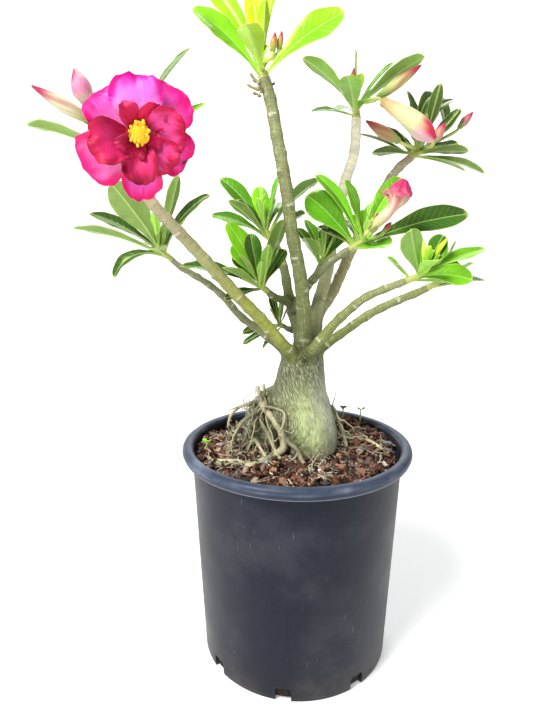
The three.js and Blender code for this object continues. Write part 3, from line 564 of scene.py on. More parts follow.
CROTCH = [5, -1, 262]
STEMS = {
    "tall_centre": ([CROTCH, [4, -8, 282], [4, -12, 309], [0, -15, 343], [-7, -18, 376], [-11, -18, 406],
        [-18, -15, 443], [-24, -12, 474], [-28, -10, 487]], [9, 6.8, 5.8, 5.4, 5.2, 5.1, 5, 4.8]),
    "flower": ([CROTCH, [-9, -15, 279], [-31, -30, 307], [-48, -44, 327], [-66, -57, 349],
        [-84, -69, 371], [-97, -78, 386], [-109, -84, 403], [-114, -87, 415]],
        [8, 5.7, 5.2, 4.9, 4.7, 4.5, 4.2, 3.8]),
    "left": ([CROTCH, [-10, 3, 275], [-30, 8, 289.5], [-49, 9, 304], [-63, 6, 321], [-75, 2, 332],
        [-85, -3, 339], [-98, -8, 348], [-103, -11, 353]], [8, 5, 4.1, 3.6, 3.3, 3, 2.7]),
    "centre_high": ([[4, 2, 270], [2, 8, 288], [-5, 15, 310], [-8, 18, 325], [-11, 20, 342],
        [-17, 22, 359], [-22, 22, 367]], [7, 5.4, 4.6, 4.1, 3.8]),
    "centre_low": ([[-5, 15, 311], [-10, 10, 317], [-15, 5, 319], [-22, -1, 323], [-26, -5, 327]],
        [3.6, 3]),
    "right_front": ([[-3, 12, 308], [7, 8, 328], [25, 0, 349], [38, -7, 359], [41, -8, 361]],
        [4.2, 3.5, 3.2]),
    "centre_right": ([[12, 6, 334], [17, 5, 342], [19, 8, 347]], [3.1, 2.8]),
    "tall_right": ([[8, 3, 268], [13, 8, 288], [17, 18, 307], [26, 28, 337], [33, 38, 376], [42, 45, 416],
        [50, 50, 440], [52, 55, 464], [52, 56, 472]], [7.4, 6.2, 5.6, 5.2, 4.9, 4.7, 4.5]),
    "back_right": ([[10, 6, 272], [15.5, 15, 291], [19.5, 25, 303.5], [33, 38, 321], [48.5, 52, 352],
        [71, 68, 393], [95, 80, 431], [108, 84, 442]], [7.6, 5.6, 4.9, 4.6, 4.4, 4.1]),
    "far_right": ([CROTCH, [6, -16, 273], [11, -22, 281], [20.5, -27, 295], [35, -34, 312.5],
        [49, -40, 325.5], [64, -45, 333], [78, -48, 339]], [8.5, 5.4, 4.3, 3.8, 3.4, 2.9]),
    "low": ([[1, 9, 291], [-6, 15, 291], [-11, 20, 293]], [3.4, 2.4]),
    "far_right_back": ([[6, -2, 264], [15, -5, 275], [25, -8, 284], [39, -12, 295], [57, -16, 309],
        [77, -20, 320], [95, -22, 328], [101, -22, 331]], [8, 4.9, 4.1, 3.8, 3.5, 3.3]),
}

# Each leaf: azimuth, elevation at its foot, length, width, arch and turn, then how light it is, from dark
# green (0) to bright yellow-green (1). Each shoot: its stem and the length of its green tip.
SHOOTS = {
    "leaves_top": ("tall_centre", 14, [
        [-168, 53, 66, 23, 25, 64, 0.78], [-5, 48, 71, 24, 25, 66, 0.8], [150, 70, 88, 18, 30, 45, 0.9],
        [-102, 30, 49, 19, 20, 0, 0.9], [70, 45, 60, 17, 35, 0, 0.9], [116, 78, 50, 14, 5, 20, 0.95],
        [105, 70, 70, 15, 10, 30, 0.95], [-60, 80, 42, 11, 0, 0, 0.9], [25, 80, 62, 16, 5, 10, 0.9]]),
    "leaves_flower": ("flower", 12, [
        [-175, 36, 65, 16, 30, -20, 0.5], [9, 44, 61, 14, 15, 20, 0.75], [110, 40, 52, 15, 35, 0, 0.5],
        [8, 68, 76, 15, 25, 20, 0.5]]),
    "leaves_left": ("left", 14, [
        [-166, 30, 51, 16, 100, 25, 0.1], [-172, 30, 74, 14, 25, -30, 0.35], [120, 25, 55, 15, 35, 0, 0.3],
        [171, 40, 70, 15, 25, 30, 0.15], [-101, 26, 23, 16, 30, 0, 0.4], [-152, 59, 64, 27, 10, -60, 0.35],
        [8, 72, 59, 15, 45, 35, 0.12], [75, 45, 50, 15, 30, 0, 0.3], [-110, 76, 30, 8, 5, 0, 0.7],
        [-17, 73, 58, 12, 0, -30, 0.45]]),
    "leaves_centre_low": ("centre_low", 12, [
        [-170, 34, 70, 17, 35, 30, 0.35], [-150, 32, 40, 16, 10, -20, 0.4], [150, 58, 44, 18, 15, 30, 0.74],
        [-68, 73, 36, 10, 5, 0, 0.7], [158, 70, 58, 19, 20, 40, 0.76], [19, 72, 55, 17, 5, -60, 0.45],
        [120, 74, 42, 15, 5, 20, 0.35]]),
    "leaves_centre_high": ("centre_high", 12, [
        [171, 39, 54, 14, 35, 35, 0.45], [-160, 51, 46, 14, 20, -25, 0.3], [110, 35, 52, 16, 35, 0, 0.4],
        [165, 64, 63, 17, 30, 40, 0.45], [16, 65, 65, 16, 40, -40, 0.5], [75, 50, 50, 15, 35, 0, 0.4],
        [122, 75, 39, 15, 5, 30, 0.78], [0, 78, 46, 16, 5, 20, 0.5]]),
    "leaves_centre_right": ("centre_right", 8, [
        [-133, 52, 29, 17, 8, 0, 0.45], [32, 50, 34, 14, 5, 20, 0.4], [153, 53, 35, 14, 5, 20, 0.15],
        [38, 80, 28, 16, 0, 50, 0.3], [126, 62, 39, 13, 15, 0, 0.5]]),
    "leaves_right_front": ("right_front", 14, [
        [-41, 1, 34, 20, -10, 32, 0.65], [0, 26, 92, 24, 20, 50, 0.22], [162, 55, 56, 26, 20, 58, 0.55],
        [90, 45, 45, 16, 30, 0, 0.4], [24, 55, 47, 14, 10, 20, 0.35], [161, 73, 65, 15, 35, 40, 0.6],
        [18, 72, 60, 18, 30, 40, 0.64], [-170, 78, 49, 15, 15, 50, 0.6]]),
    "leaves_far_right": ("far_right", 14, [
        [-8, 1, 35, 14, 10, -10, 0.4], [-17, 20, 42, 18, 40, 48, 0.7], [162, 40, 24, 12, 0, 0, 0.7],
        [-71, 33, 30, 17, 10, 0, 0.72], [5, 30, 33, 14, 30, 30, 0.7], [6, 32, 53, 14, 20, 30, 0.68],
        [-124, 49, 41, 19, -10, -50, 0.6], [26, 63, 34, 15, 10, 40, 0.35], [-8, 61, 30, 10, 0, 0, 0.9]]),
    "leaves_far_right_back": ("far_right_back", 12, [
        [3, 12, 43, 15, 10, 10, 0.35], [60, 25, 50, 15, 30, 0, 0.3], [11, 33, 34, 12, 10, 0, 0.4],
        [110, 40, 48, 15, 35, 0, 0.35]]),
    "leaves_low": ("low", 6, [
        [-178, -45, 26, 8, 10, 20, 0.12], [175, -20, 38, 9, 15, 30, 0.15], [165, -5, 36, 10, 20, 40, 0.1],
        [170, 75, 28, 9, 5, 40, 0.2]]),
    "leaves_tall_right": ("tall_right", 14, [
        [-168, 17, 39, 12, 30, 20, 0.52], [-109, 35, 43, 19, 10, 0, 0.58], [100, 30, 54, 16, 35, 0, 0.47],
        [-140, 39, 24, 7, 0, 0, 0.58], [-174, 58, 62, 16, 35, -35, 0.57], [5, 49, 71, 18, 25, -45, 0.58],
        [45, 45, 55, 15, 30, 0, 0.47], [-6, 61, 46, 12, 25, 15, 0.57], [140, 55, 50, 15, 30, 0, 0.52],
        [105, 83, 45, 12, 0, -60, 0.52]]),
    "leaves_back_right": ("back_right", 14, [
        [4, 3, 71, 13, 30, -20, 0.3], [-10, -7, 48, 13, 20, 0, 0.25], [174, 32, 52, 10, 20, 0, 0.08],
        [70, 35, 55, 16, 35, 0, 0.08], [-6, 12, 47, 14, 20, -30, 0.3], [-166, 4, 42, 14, 10, -30, 0.06],
        [-16, 38, 51, 16, -15, 45, 0.06], [178, 34, 45, 12, 10, 0, 0.08], [125, 45, 50, 15, 30, 0, 0.06],
        [17, 98, 64, 16, 88, 30, 0.04], [-48, 68, 58, 12, -10, -40, 0.08], [150, 86, 55, 13, 20, 20, 0.04],
        [45, 80, 49, 14, 40, 20, 0.06]]),
}

# Each bud: its stem, its foot and tip, and its greatest radius; a longer one has all its points and radii.
BUD_OUTLINE = [0.45, 0.9, 1, 0.7, 0.15]
BUDS = {
    "bud_top_left": ("tall_centre", [[-22, -10, 506], [-20, -11, 519]], 2.7),
    "bud_top_right": ("tall_centre", [[-17, -8, 508], [-15, -8, 521]], 2.4),
    "bud_flower_long": ("flower", [[-136, -92, 442], [-167, -106, 460]], 4.1),
    "bud_flower_round": ("flower", [[-139, -90, 453], [-145, -92, 473]], 6.2),
    "bud_flower_thin": ("flower", [[-130, -98, 439], [-137, -106, 448]], 1.9),
    "bud_tall_right_upper": ("tall_right", [[70, 56, 488], [105, 50, 513]], 4.7),
    "bud_tall_right_red": ("tall_right", [[46, 44, 495], [47, 44, 509]], 2.6),
    "bud_tall_right_hanging": ("tall_right", [[72, 46, 484], [96, 40, 468], [116, 36, 451]],
        [3, 5.4, 6.8, 8.2, 9.2, 8, 3]),
    "bud_back_right_left": ("back_right", [[93, 66, 454], [61, 58, 470]], 5.2),
    "bud_back_right_middle": ("back_right", [[125, 68, 454], [132, 62, 469]], 4.3),
    "bud_back_right_far": ("back_right", [[151, 82, 468], [163, 82, 482]], 3.6),
    "bud_right_front_left": ("right_front", [[58, -18, 379], [60, -18, 389]], 2.3),
    "bud_right_front_right": ("right_front", [[64, -26, 375], [69, -28, 382]], 2.2),
    "faded_flower": ("right_front", [[52, -30, 376], [68, -36, 393], [75, -38, 412]],
        [2.2, 3.8, 4.2, 4, 6.4, 6.8, 2.4]),
}
GAP = 0.3
FLOWER_CENTRE = np.array([-102, -115, 431.0])
FLOWER_FACING = unit([0.2, -0.97, -0.12])
TUBE_LENGTH = 20
CALYX_LENGTH = 6
CALYX_PATH = np.array([FLOWER_CENTRE - FLOWER_FACING * (TUBE_LENGTH + CALYX_LENGTH + GAP),
                       FLOWER_CENTRE - FLOWER_FACING * (TUBE_LENGTH + GAP)])
SOIL_LEVEL = 187


def soil_height(x, y):
    """The soil's level: a low heap at the back right, a dip at the back left, and slight ripples."""
    heap = 5 * np.exp(-((x - 52) ** 2 + (y - 52) ** 2) / 900)
    dip = 5 * np.exp(-((x + 55) ** 2 + (y - 45) ** 2) / 900)
    return SOIL_LEVEL + heap - dip + 0.8 * np.sin(x / 9) * np.cos(y / 11)


# Leaves

# Leaf greens from dark to bright yellow-green
LEAF_TONES = [(0.0, "163a0d"), (0.35, "2c680d"), (0.6, "5aa80c"), (0.8, "86d414"), (0.9, "a8de1c"),
              (1.0, "d6f414")]
# Where a leaf and a petal are widest, and the rest of their length, as shares of it
LEAF_WIDEST, LEAF_TAPER = 0.72, 0.28
PETAL_WIDEST, PETAL_TAPER = 0.66, 0.34
LEAF_ROWS = np.concatenate([np.linspace(0, 0.9, 25), np.linspace(0.92, 1.0, 7), [1.008, 1.018]])
LEAF_ASIDE = [0.07, 0.18, 0.36, 0.58, 0.79, 0.93, 1.0]
LEAF_COLUMNS = np.array([-share for share in reversed(LEAF_ASIDE)] + [0.0] + LEAF_ASIDE)
LEAF_FOLD = math.radians(14)
# A leaf that arches over more than this many degrees rises straight at first; its bend grows by this power
HANGING_OVER = 150
LATE_BEND = 1.8


def leaf_colour(tone):
    levels = [level for level, _ in LEAF_TONES]
    colours = np.array([colour(code) for _, code in LEAF_TONES])
    return np.array([np.interp(tone, levels, colours[:, k]) for k in range(3)])


def leaf_outline(t):
    rising = 0.16 + 0.84 * np.sin(TAU / 4 * (np.clip(t, 0, LEAF_WIDEST) / LEAF_WIDEST) ** 1.2) ** 2
    falling = np.clip(1 - ((np.clip(t, LEAF_WIDEST, 1) - LEAF_WIDEST) / LEAF_TAPER) ** 2, 0, 1) ** 0.55
    return np.where(t < LEAF_WIDEST, rising, falling)


def petal_outline(t):
    rising = 0.16 + 0.84 * np.sin(TAU / 4 * np.clip(t, 0, PETAL_WIDEST) / PETAL_WIDEST)
    falling = np.sqrt(np.clip(1 - ((np.clip(t, PETAL_WIDEST, 1) - PETAL_WIDEST) / PETAL_TAPER) ** 2, 0, 1))
    return np.where(t < PETAL_WIDEST, rising, falling)


def blade(base, azimuth, elevation, length, arch, twist, t, s, half, lift, roll=0.0, sway=0.0, late=1.0):
    """The middle surface of a leaf or petal: a grid of points for each share t along it and s across it.

    `half` holds its half width at each t, `lift` how far each point stands off the midrib's plane, `roll`
    turns it further along its length and `sway` curves it sideways. With `late` over 1 it rises straight at
    first and bends over later.
    """
    forward, level = heading(azimuth), heading(azimuth - 90)
    start, bend = math.radians(elevation), math.radians(arch)
    slope = start - bend * t ** late
    if late != 1.0:
        between, steps = (slope[1:] + slope[:-1]) / 2, np.diff(t)
        reach, rise = (np.concatenate([[0], np.cumsum(way(between) * steps)]) for way in (np.cos, np.sin))
    elif abs(bend) > 1e-6:
        reach = (math.sin(start) - np.sin(slope)) / bend
        rise = (np.cos(slope) - math.cos(start)) / bend
    else:
        reach, rise = math.cos(start) * t, math.sin(start) * t
    spine = base + length * (reach[:, None] * forward + rise[:, None] * UP)
    spine = spine + length * sway * (t ** 2)[:, None] * level
    upright = -np.sin(slope)[:, None] * forward + np.cos(slope)[:, None] * UP
    turn = math.radians(twist) + math.radians(roll) * t
    across = np.cos(turn)[:, None] * level - np.sin(turn)[:, None] * upright
    normal = np.cos(turn)[:, None] * upright + np.sin(turn)[:, None] * level
    beside = s[None, :] * half[:, None]
    return spine[:, None] + beside[..., None] * across[:, None] + lift[..., None] * normal[:, None]


def slab(middle, above, below, tint_above, tint_below, grain):
    """A closed thin body round a grid of points; `above` and `below` are how far its faces stand off it."""
    rows, columns = middle.shape[:2]
    half = rows * columns
    normal = unit(np.cross(np.gradient(middle, axis=1), np.gradient(middle, axis=0)))
    sheets = [middle + normal * np.asarray(off)[..., None] for off in (above, -below)]
    number = np.arange(half).reshape(rows, columns)
    edge = np.concatenate([number[0], number[1:, -1], number[-1, -2::-1], number[-2:0:-1, 0]])
    after = np.roll(edge, -1)
    rim = np.stack([edge, edge + half, after + half, after], axis=1)
    faces = [grid_faces(rows, columns), grid_faces(rows, columns, flip=True) + half, rim]
    tint = [np.broadcast_to(each, middle.shape) for each in (tint_above, tint_below)]
    return form(np.stack(sheets), faces, np.stack(tint).reshape(-1, 3), np.stack([grain, grain]))


def leaf(base, spec, k, rng):
    """A leaf from its row in the tables; `k` tells its waves and noise from those of other leaves."""
    azimuth, elevation, length, width, arch, turn, tone = spec
    twist = turn if heading(azimuth - 90)[1] < 0.05 else -turn
    t, s = LEAF_ROWS, LEAF_COLUMNS
    point_width = np.interp(t, [0, 0.955, 1.0, 1.02], [0, 0.75, 0.62, 0.22])
    half = np.maximum(width / 2 * leaf_outline(t), np.minimum(point_width, width / 8))
    along_it, wide, far, right = t[:, None], half[:, None], np.abs(s), s > 0
    ruffle = 0.05 * width * along_it * far * np.sin(TAU * 1.5 * along_it + k * 1.7 + 2.0 * right)
    crinkle = 0.022 * width * along_it * far ** 2 * np.sin(
        TAU * (4.3 + rng.uniform(-1, 1)) * along_it + rng.uniform(0, TAU) + 2.4 * right)
    fold = wide * far * math.sin(LEAF_FOLD) * (1.35 - 0.3 * along_it)
    curl = -0.05 * wide * far ** 5
    closing = np.clip((0.985 - along_it) / 0.1, 0, 1)
    lift = fold + (ruffle + crinkle) * closing + curl
    middle = blade(base, azimuth, elevation, length, arch, twist, t, s * math.cos(LEAF_FOLD), half, lift,
                   roll=rng.uniform(-9, 9), sway=rng.uniform(-0.02, 0.02),
                   late=LATE_BEND if arch > HANGING_OVER else 1.0)
    middle[..., 2] += 0.014 * width * layered_noise(middle, 14.0, k) * closing
    aside = np.abs(s * wide)
    thin = 0.38 * (1 - 0.55 * far ** 4) * np.clip(wide / 1.5, 0.45, 1)
    groove = 0.28 * bell(aside, 0.8) * np.clip(wide / 3, 0, 1) * (along_it < 0.95)
    rib = (0.25 + 1.0 * (1 - np.clip(along_it, 0, 1)) ** 0.8) * bell(aside, 0.95)
    veins = np.cos(TAU * (along_it * length - VEIN_LEAN * aside) / VEIN_SPACING) * 0.012
    veins = veins * (far < 0.9) * (far > 0.05)
    above = np.maximum(thin - groove + veins, 0.08)
    below = thin + rib * np.clip(wide / 1.2, 0.2, 1)
    shade = leaf_colour(tone + rng.uniform(-0.05, 0.05))
    # painted light and shade: one half of the folded blade is tinted lighter, the other darker
    side = rng.choice([-1, 1]) * rng.uniform(0.12, 0.3)
    painted_fold_light = 1 + side * np.sign(s) * np.minimum(1, 6 * far)
    clouds = layered_noise(middle, 17.0, 50 + k)
    front = washed(shade * (painted_fold_light * (1 + 0.3 * clouds))[..., None],
                   ("b4cf62", 0.6 * smoothstep(0.16, 0.0, along_it)),
                   ("d7dd6e", 0.5 * smoothstep(0.955, 1.0, along_it)))
    paler = 0.1 + 0.42 * (smoothstep(0.85, 0.6, tone) * smoothstep(0.0, 0.35, tone))
    back = washed(front, ("98b165", paler)) * (1 + 0.08 * clouds[..., None])
    return slab(middle, above, below, front, back, stacked(along_it * length + 37.0 * k, s * wide, wide))


def stem_end(name):
    before, end = np.array(STEMS[name][0][-2:], float)
    return end, unit(end - before)


def stalk_path(top, load):
    """From inside the top of a shoot to what the stalk carries, the last stretch in line with it."""
    towards = unit(load[1] - load[0])
    return smooth_curve([top, load[0] - (GAP + 3) * towards, load[0] + 0.4 * towards], 26)


# Smaller dark leaves that fill a shoot out from behind, as rows like those of the shoots; one long leaf of
# the back right shoot hangs over
FILLING_LEAVES = {
    "leaves_centre_low": [[176, -8, 33, 14, 15, 30, 0.08], [150, 52, 38, 15, 20, 40, 0.1],
                          [30, 62, 36, 14, 15, 30, 0.15]],
    "leaves_centre_high": [[-170, 62, 40, 14, 25, 30, 0.15], [20, 45, 38, 13, 30, -30, 0.12]],
    "leaves_right_front": [[150, 35, 36, 13, 20, 30, 0.15]],
    "leaves_back_right": [[160, 58, 40, 14, 35, 40, 0.05], [50, 90, 112, 18, 190, 25, 0.05],
                          [-20, 20, 36, 13, 20, 30, 0.08]],
    "leaves_left": [[120, 40, 32, 12, 25, 20, 0.08]],
}
YOUNG_LEAVES = 7
SHOOT_TIP_RADIUS = 1.8


def own_draws(name):
    """Random draws seeded from a name."""
    return np.random.default_rng(sum(map(ord, name)))


def shoot_form(name):
    """A shoot: the green end of its stem, its leaves, young leaves at the tip, and its stalks."""
    stem, tip, leaves = SHOOTS[name]
    rng = own_draws(name)
    end, direction = stem_end(stem)
    foot = end + direction * GAP
    top = foot + direction * tip
    foot_radius = 0.92 * STEMS[stem][1][-1]
    light = np.mean([row[6] for row in leaves])
    share = np.linspace(-0.06, 1, 22)
    radii = foot_radius + (SHOOT_TIP_RADIUS - foot_radius) * np.clip(share, 0, 1)
    radii = radii * (1 + 0.13 * np.sin(share * 38))
    bark_end = mix(colour("8d8a66"), leaf_colour(min(1, light)), smoothstep(0.25, 0.95, share))
    forms = [tube(foot + (top - foot) * share[:, None], radii, 14, bark_end, 3.0)]
    for k, spec in enumerate(leaves):
        place = 0.15 + 0.75 * k / (len(leaves) - 1)
        radius = foot_radius + (SHOOT_TIP_RADIUS - foot_radius) * place
        forms.append(leaf(foot + (top - foot) * place + heading(spec[0]) * 0.6 * radius, spec, k, rng))
    for k, spec in enumerate(FILLING_LEAVES.get(name, [])):
        base = foot + (top - foot) * (0.3 + 0.12 * k) + heading(spec[0]) * 0.4 * foot_radius
        forms.append(leaf(base, spec, 60 + k, rng))
    grown = 1.3 if "centre" in name or "right" in name else 1.0
    for k in range(YOUNG_LEAVES):
        azimuth = GOLDEN_ANGLE * k + rng.uniform(-20, 20)
        young = [azimuth, rng.uniform(58, 84), grown * rng.uniform(10, 26), grown * rng.uniform(3.6, 7.5),
                 rng.uniform(-5, 16), rng.uniform(-40, 40), min(1.0, light + rng.uniform(0.05, 0.3))]
        forms.append(leaf(foot + (top - foot) * 0.94 + heading(azimuth) * 0.5, young, 30 + k, rng))
    loads = [np.array(points, float) for stalk_stem, points, _ in BUDS.values() if stalk_stem == stem]
    if stem == "flower":
        loads.append(CALYX_PATH)
    for load in loads:
        path = stalk_path(top - direction * 1.5, load)
        share = np.linspace(0, 1, len(path))
        skin = mix(leaf_colour(min(1, light + 0.1)), colour("b9bf7a"), smoothstep(0.1, 0.9, share))
        radii = (1.7 - 0.25 * share) * (1 + 0.07 * np.sin(share * 17 + len(forms)))
        forms.append(tube(path, radii, 12, skin, 5.0))
    return joined(forms)


for shoot_name in SHOOTS:
    shoot = make_piece(shoot_name.replace("leaves", "foliage"), shoot_form(shoot_name), LEAF)
    settle(shoot, "leaf", shoot_name)


# The plant's woody body: caudex, lobe and stems grown into one skin, with the roots round its foot

# height, centre x, centre y and radius of each ring
CAUDEX = [[120, 10, -4, 6], [150, 11, -7, 14], [172, 12, -9, 19], [187, 12, -10, 20.5], [198, 13, -10, 21.5],
          [210, 9, -8, 24], [222, 4, -6, 25.5], [236, 2, -4, 24.4], [250, 3, -3, 21.4], [264, 4, -1, 19],
          [274, 5, -1, 16.5], [281, 5, 0, 9]]
LOBE = [[140, -16, 12, 8], [165, -24, 17, 16], [187, -27, 18, 20.5], [202, -27, 17, 21], [216, -24, 14, 18.5],
        [228, -19, 10, 15], [238, -13, 6, 9]]
ROOTS = [
    ([[-22, 6, 226], [-30, -2, 229], [-20, -14, 218], [-13, -20, 206], [-12, -23, 196], [-18, -24],
        [-31, -38], [-40, -45], [-49, -37], [-58, -37], [-68, -37]], [3.6, 3.5, 3.3, 2.8, 1.6]),
    ([[-24, 4, 224], [-31, -5, 224], [-41, -12, 221], [-49, -14, 214], [-53, -12, 205], [-54, -2, 195],
        [-53, 8]], [2.2, 1.8, 1.5]),
    ([[-24, 4, 222], [-31, -4, 221], [-30, -10, 213], [-25, -14, 205], [-18, -26, 192], [-15, -33]],
     [2, 1.8, 1.4]),
    ([[-22, 6, 226], [-28, -6, 228], [-18, -22, 231], [-12, -29, 229], [-13, -30, 219], [-16, -29, 212]],
     [1.7, 1.2, 0.8]),
    ([[0, -16, 208], [-9, -25, 204], [-3, -33, 200], [1, -36, 194], [4, -41], [11, -59], [18, -73]],
     [2.2, 1.8, 1.3]),
    ([[-22, 8, 226], [-36, 5, 227], [-53, 10, 220], [-59, 8, 213], [-61, 7, 204]], [2, 1.5, 1.2]),
    ([[-30, 16, 190], [-47, 22], [-53, 33], [-58, 44], [-60, 54]], [2.4, 1.8, 1.4]),
    ([[-50, -37], [-62, -44], [-70, -38], [-75, -30]], [1.6, 1.4]),
    ([[-27, 6, 188], [-38, -5, 186], [-43, -12, 190], [-37, -12, 199], [-31, -19, 193], [-27, -29]],
     [2, 1.6, 1.4]),
    ([[20, -5, 228], [29, -4, 227], [36, -4, 214], [41, -5, 201], [44, -8]], [2, 1.6, 1.4]),
    ([[22, 0, 186], [34, 12, 187], [44, 20], [55, 14], [67, 5], [74, -12]], [2.6, 2, 1.6, 1.3]),
    ([[-24, 4, 225], [-30, 1, 233], [-35, 3, 243]], [3.2, 2.4, 1.6]),
    ([[-30, 1, 232], [-28, -3, 240], [-29, -4, 247]], [1.6, 1]),
]
BURIED_ROOTS = [
    ([[10, -8, 160], [30, -20, 136], [48, -28, 120]], [9, 2]),
    ([[8, -4, 158], [18, 24, 134], [24, 50, 112]], [8, 2]),
    ([[-20, 14, 165], [-38, 4, 140], [-56, -8, 118]], [9, 2]),
]
# Bark colour of each stem, from its foot to its tip
STEM_BARK = {
    "tall_centre": ("727c46", "7e8456"), "flower": ("a2aa44", "b8b08c"), "left": ("7a8256", "9a9a78"),
    "centre_high": ("808a58", "869060"), "centre_low": ("88925e", "8a9462"),
    "right_front": ("8c966a", "7c845c"), "centre_right": ("848e5a", "868e5c"),
    "tall_right": ("a8a880", "f0e9d2"), "back_right": ("a09a72", "9a8e76"),
    "far_right": ("7e8a44", "828a54"), "low": ("7c8450", "7c8450"), "far_right_back": ("76823e", "7c844e"),
}
SCAR_SPACING = 13.5
SCAR_TURN = 2.4
RING_SPACING = 2.5
STEM_STEP = 2.0
VOXEL = 1.3
# Stands for the distance of points that a stem doesn't reach
FAR_OFF = 1e3
# The tint of forms whose skin gets its own after the remesh
UNTINTED = (0.3, 0.3, 0.3)
NEAR_STEM_BATCH = 20000


def ground_points(points):
    """Root points, where one with no height lies on the soil."""
    return np.array([[*p[:2], p[2] if len(p) > 2 else soil_height(p[0], p[1]) + 3.2] for p in points], float)


def column(rings, sides, lumps, seed):
    """A swollen stem of level rings, run smoothly through the given ones, with low lumps."""
    rings = np.array(rings, float)
    heights = np.arange(rings[0, 0], rings[-1, 0] + 0.1, RING_SPACING)
    smooth = smooth_curve(rings[:, [1, 2, 0]], 400)
    grown = smooth_curve(stacked(rings[:, 3], 0.0, rings[:, 0]), 400)
    x, y = (np.interp(heights, smooth[:, 2], smooth[:, axis]) for axis in (0, 1))
    radius = np.interp(heights, grown[:, 2], grown[:, 0])[:, None]
    path = stacked(x, y, heights)
    ring_points = path[:, None] + about_z(radius, ring_angles(sides), 0.0)
    return tube(path, radius + lumps * layered_noise(ring_points, 26.0, seed), sides, UNTINTED)


def stem_path(name):
    """A stem's centre line and its radius at each point."""
    points, radii = STEMS[name]
    count = max(4, int(curve_length(smooth_curve(points, 60)) / STEM_STEP))
    return smooth_curve(points, count), along(radii, np.linspace(0, 1, count))


def remeshed(shape):
    """The outer skin of overlapping closed forms, as one closed mesh of even small faces."""
    rough = make_piece("rough_body", shape, BARK)
    remesh = rough.modifiers.new("skin", "REMESH")
    remesh.mode = "VOXEL"
    remesh.voxel_size = VOXEL * MM
    remesh.adaptivity = 0.0
    skin = evaluated_mesh(rough)
    points = read_mesh(skin.vertices, "co", 3) / MM
    quads = read_mesh(skin.loops, "vertex_index", 1, np.int64).reshape(-1, 4)
    edges = read_mesh(skin.edges, "vertices", 2, np.int64)
    bpy.data.objects.remove(rough)
    bpy.data.meshes.remove(skin)
    return points, quads, edges


def relaxed(points, edges, strength, rounds):
    """Points drawn towards the mean of their neighbours; `strength` is a share for each point."""
    count = np.bincount(edges.ravel(), minlength=len(points))[:, None]
    for _ in range(rounds):
        total = np.zeros_like(points)
        for axis in range(3):
            total[:, axis] = (np.bincount(edges[:, 0], points[edges[:, 1], axis], len(points))
                              + np.bincount(edges[:, 1], points[edges[:, 0], axis], len(points)))
        points = points + strength[:, None] * (total / np.maximum(count, 1) - points)
    return points


def point_normals(points, quads):
    across = points[quads[:, 2]] - points[quads[:, 0]]
    beside = points[quads[:, 3]] - points[quads[:, 1]]
    facing = np.cross(across, beside)
    normals = np.zeros_like(points)
    for corner in range(4):
        for axis in range(3):
            normals[:, axis] += np.bincount(quads[:, corner], facing[:, axis], len(points))
    return unit(normals)


def dots(first, second):
    return np.einsum("ij,ij->i", first, second)


def near_stem(points, path, radii):
    """For each point: how far it is outside a stem's skin, and its place along and round the stem."""
    tangents, side, over = frames_along(path)
    lengths = lengths_along(path)
    outside = np.full(len(points), FAR_OFF)
    place = np.zeros(len(points))
    round_it = np.zeros(len(points))
    low, high = path.min(0) - 16, path.max(0) + 16
    near = np.nonzero(np.all((points > low) & (points < high), axis=1))[0]
    for start in range(0, len(near), NEAR_STEM_BATCH):
        chosen = near[start:start + NEAR_STEM_BATCH]
        gap = points[chosen][:, None] - path[None]
        distance = np.linalg.norm(gap, axis=2) - radii[None]
        best = distance.argmin(1)
        row = np.arange(len(chosen))
        nearest = gap[row, best]
        outside[chosen] = distance[row, best]
        place[chosen] = lengths[best] + dots(nearest, tangents[best])
        round_it[chosen] = np.arctan2(dots(nearest, over[best]), dots(nearest, side[best]))
    return outside, place, round_it


def caudex_tint(points, normals):
    """Olive-grey bark, greyer at its foot and darker towards the crown, with painted light: a bright painted
    highlight and a whitish painted glare on the front, a paler lit right side and a darker shaded left side.
    """
    x, _, z = points.T
    frontal = np.clip(-normals[:, 1], 0, 1)
    cloud = layered_noise(points, 22.0, 5)
    # painted highlights: the bright patch and the whitish glare on the front
    patch = np.exp(-(((x - 12) / 17) ** 2 + ((z - 216) / 26) ** 2)) * frontal
    glare = np.exp(-(((x - 11) / 6) ** 2 + ((z - 221) / 17) ** 2)) * frontal
    tint = washed(colour("7c8456"),
                  ("bccb88", np.clip(1.25 * patch + 0.25 * cloud * patch, 0, 1)),
                  ("e2ebc4", 0.3 * glare * (0.8 + 0.5 * cloud)),
                  ("7d7a60", 0.7 * smoothstep(208, 190, z)),
                  # painted light on the right-facing side, painted shade on the left-facing side
                  ("bcbfa4", np.clip(1.6 * (normals[:, 0] - 0.2), 0, 0.9)),
                  ("4e5434", 0.9 * np.clip(-normals[:, 0] - 0.05, 0, 1)),
                  ("464c2b", 0.85 * smoothstep(236, 268, z)))
    return tint * (1 + 0.16 * cloud[:, None])


def body_solids():
    """The caudex, its lobe, the stems and the head of the hanging roots, as overlapping closed forms."""
    solids = [column(CAUDEX, 72, 0.9, 21), column(LOBE, 60, 1.0, 22)]
    for name in STEMS:
        path, radii = stem_path(name)
        lengths = np.linspace(0, curve_length(path), len(path))
        flare = 1.6 * np.exp(-lengths / 9)
        swell = 0.2 * np.cos(TAU * lengths / SCAR_SPACING)
        solids.append(tube(path, radii + flare + swell, 26, UNTINTED))
    head = smooth_curve([[-24, 4, 205], [-24, 4, 216], [-23, 6, 226]], 8)
    solids.append(tube(head, [9, 8.4, 8, 7.4, 6.8, 6, 5, 4], 24, UNTINTED))
    return joined(solids)


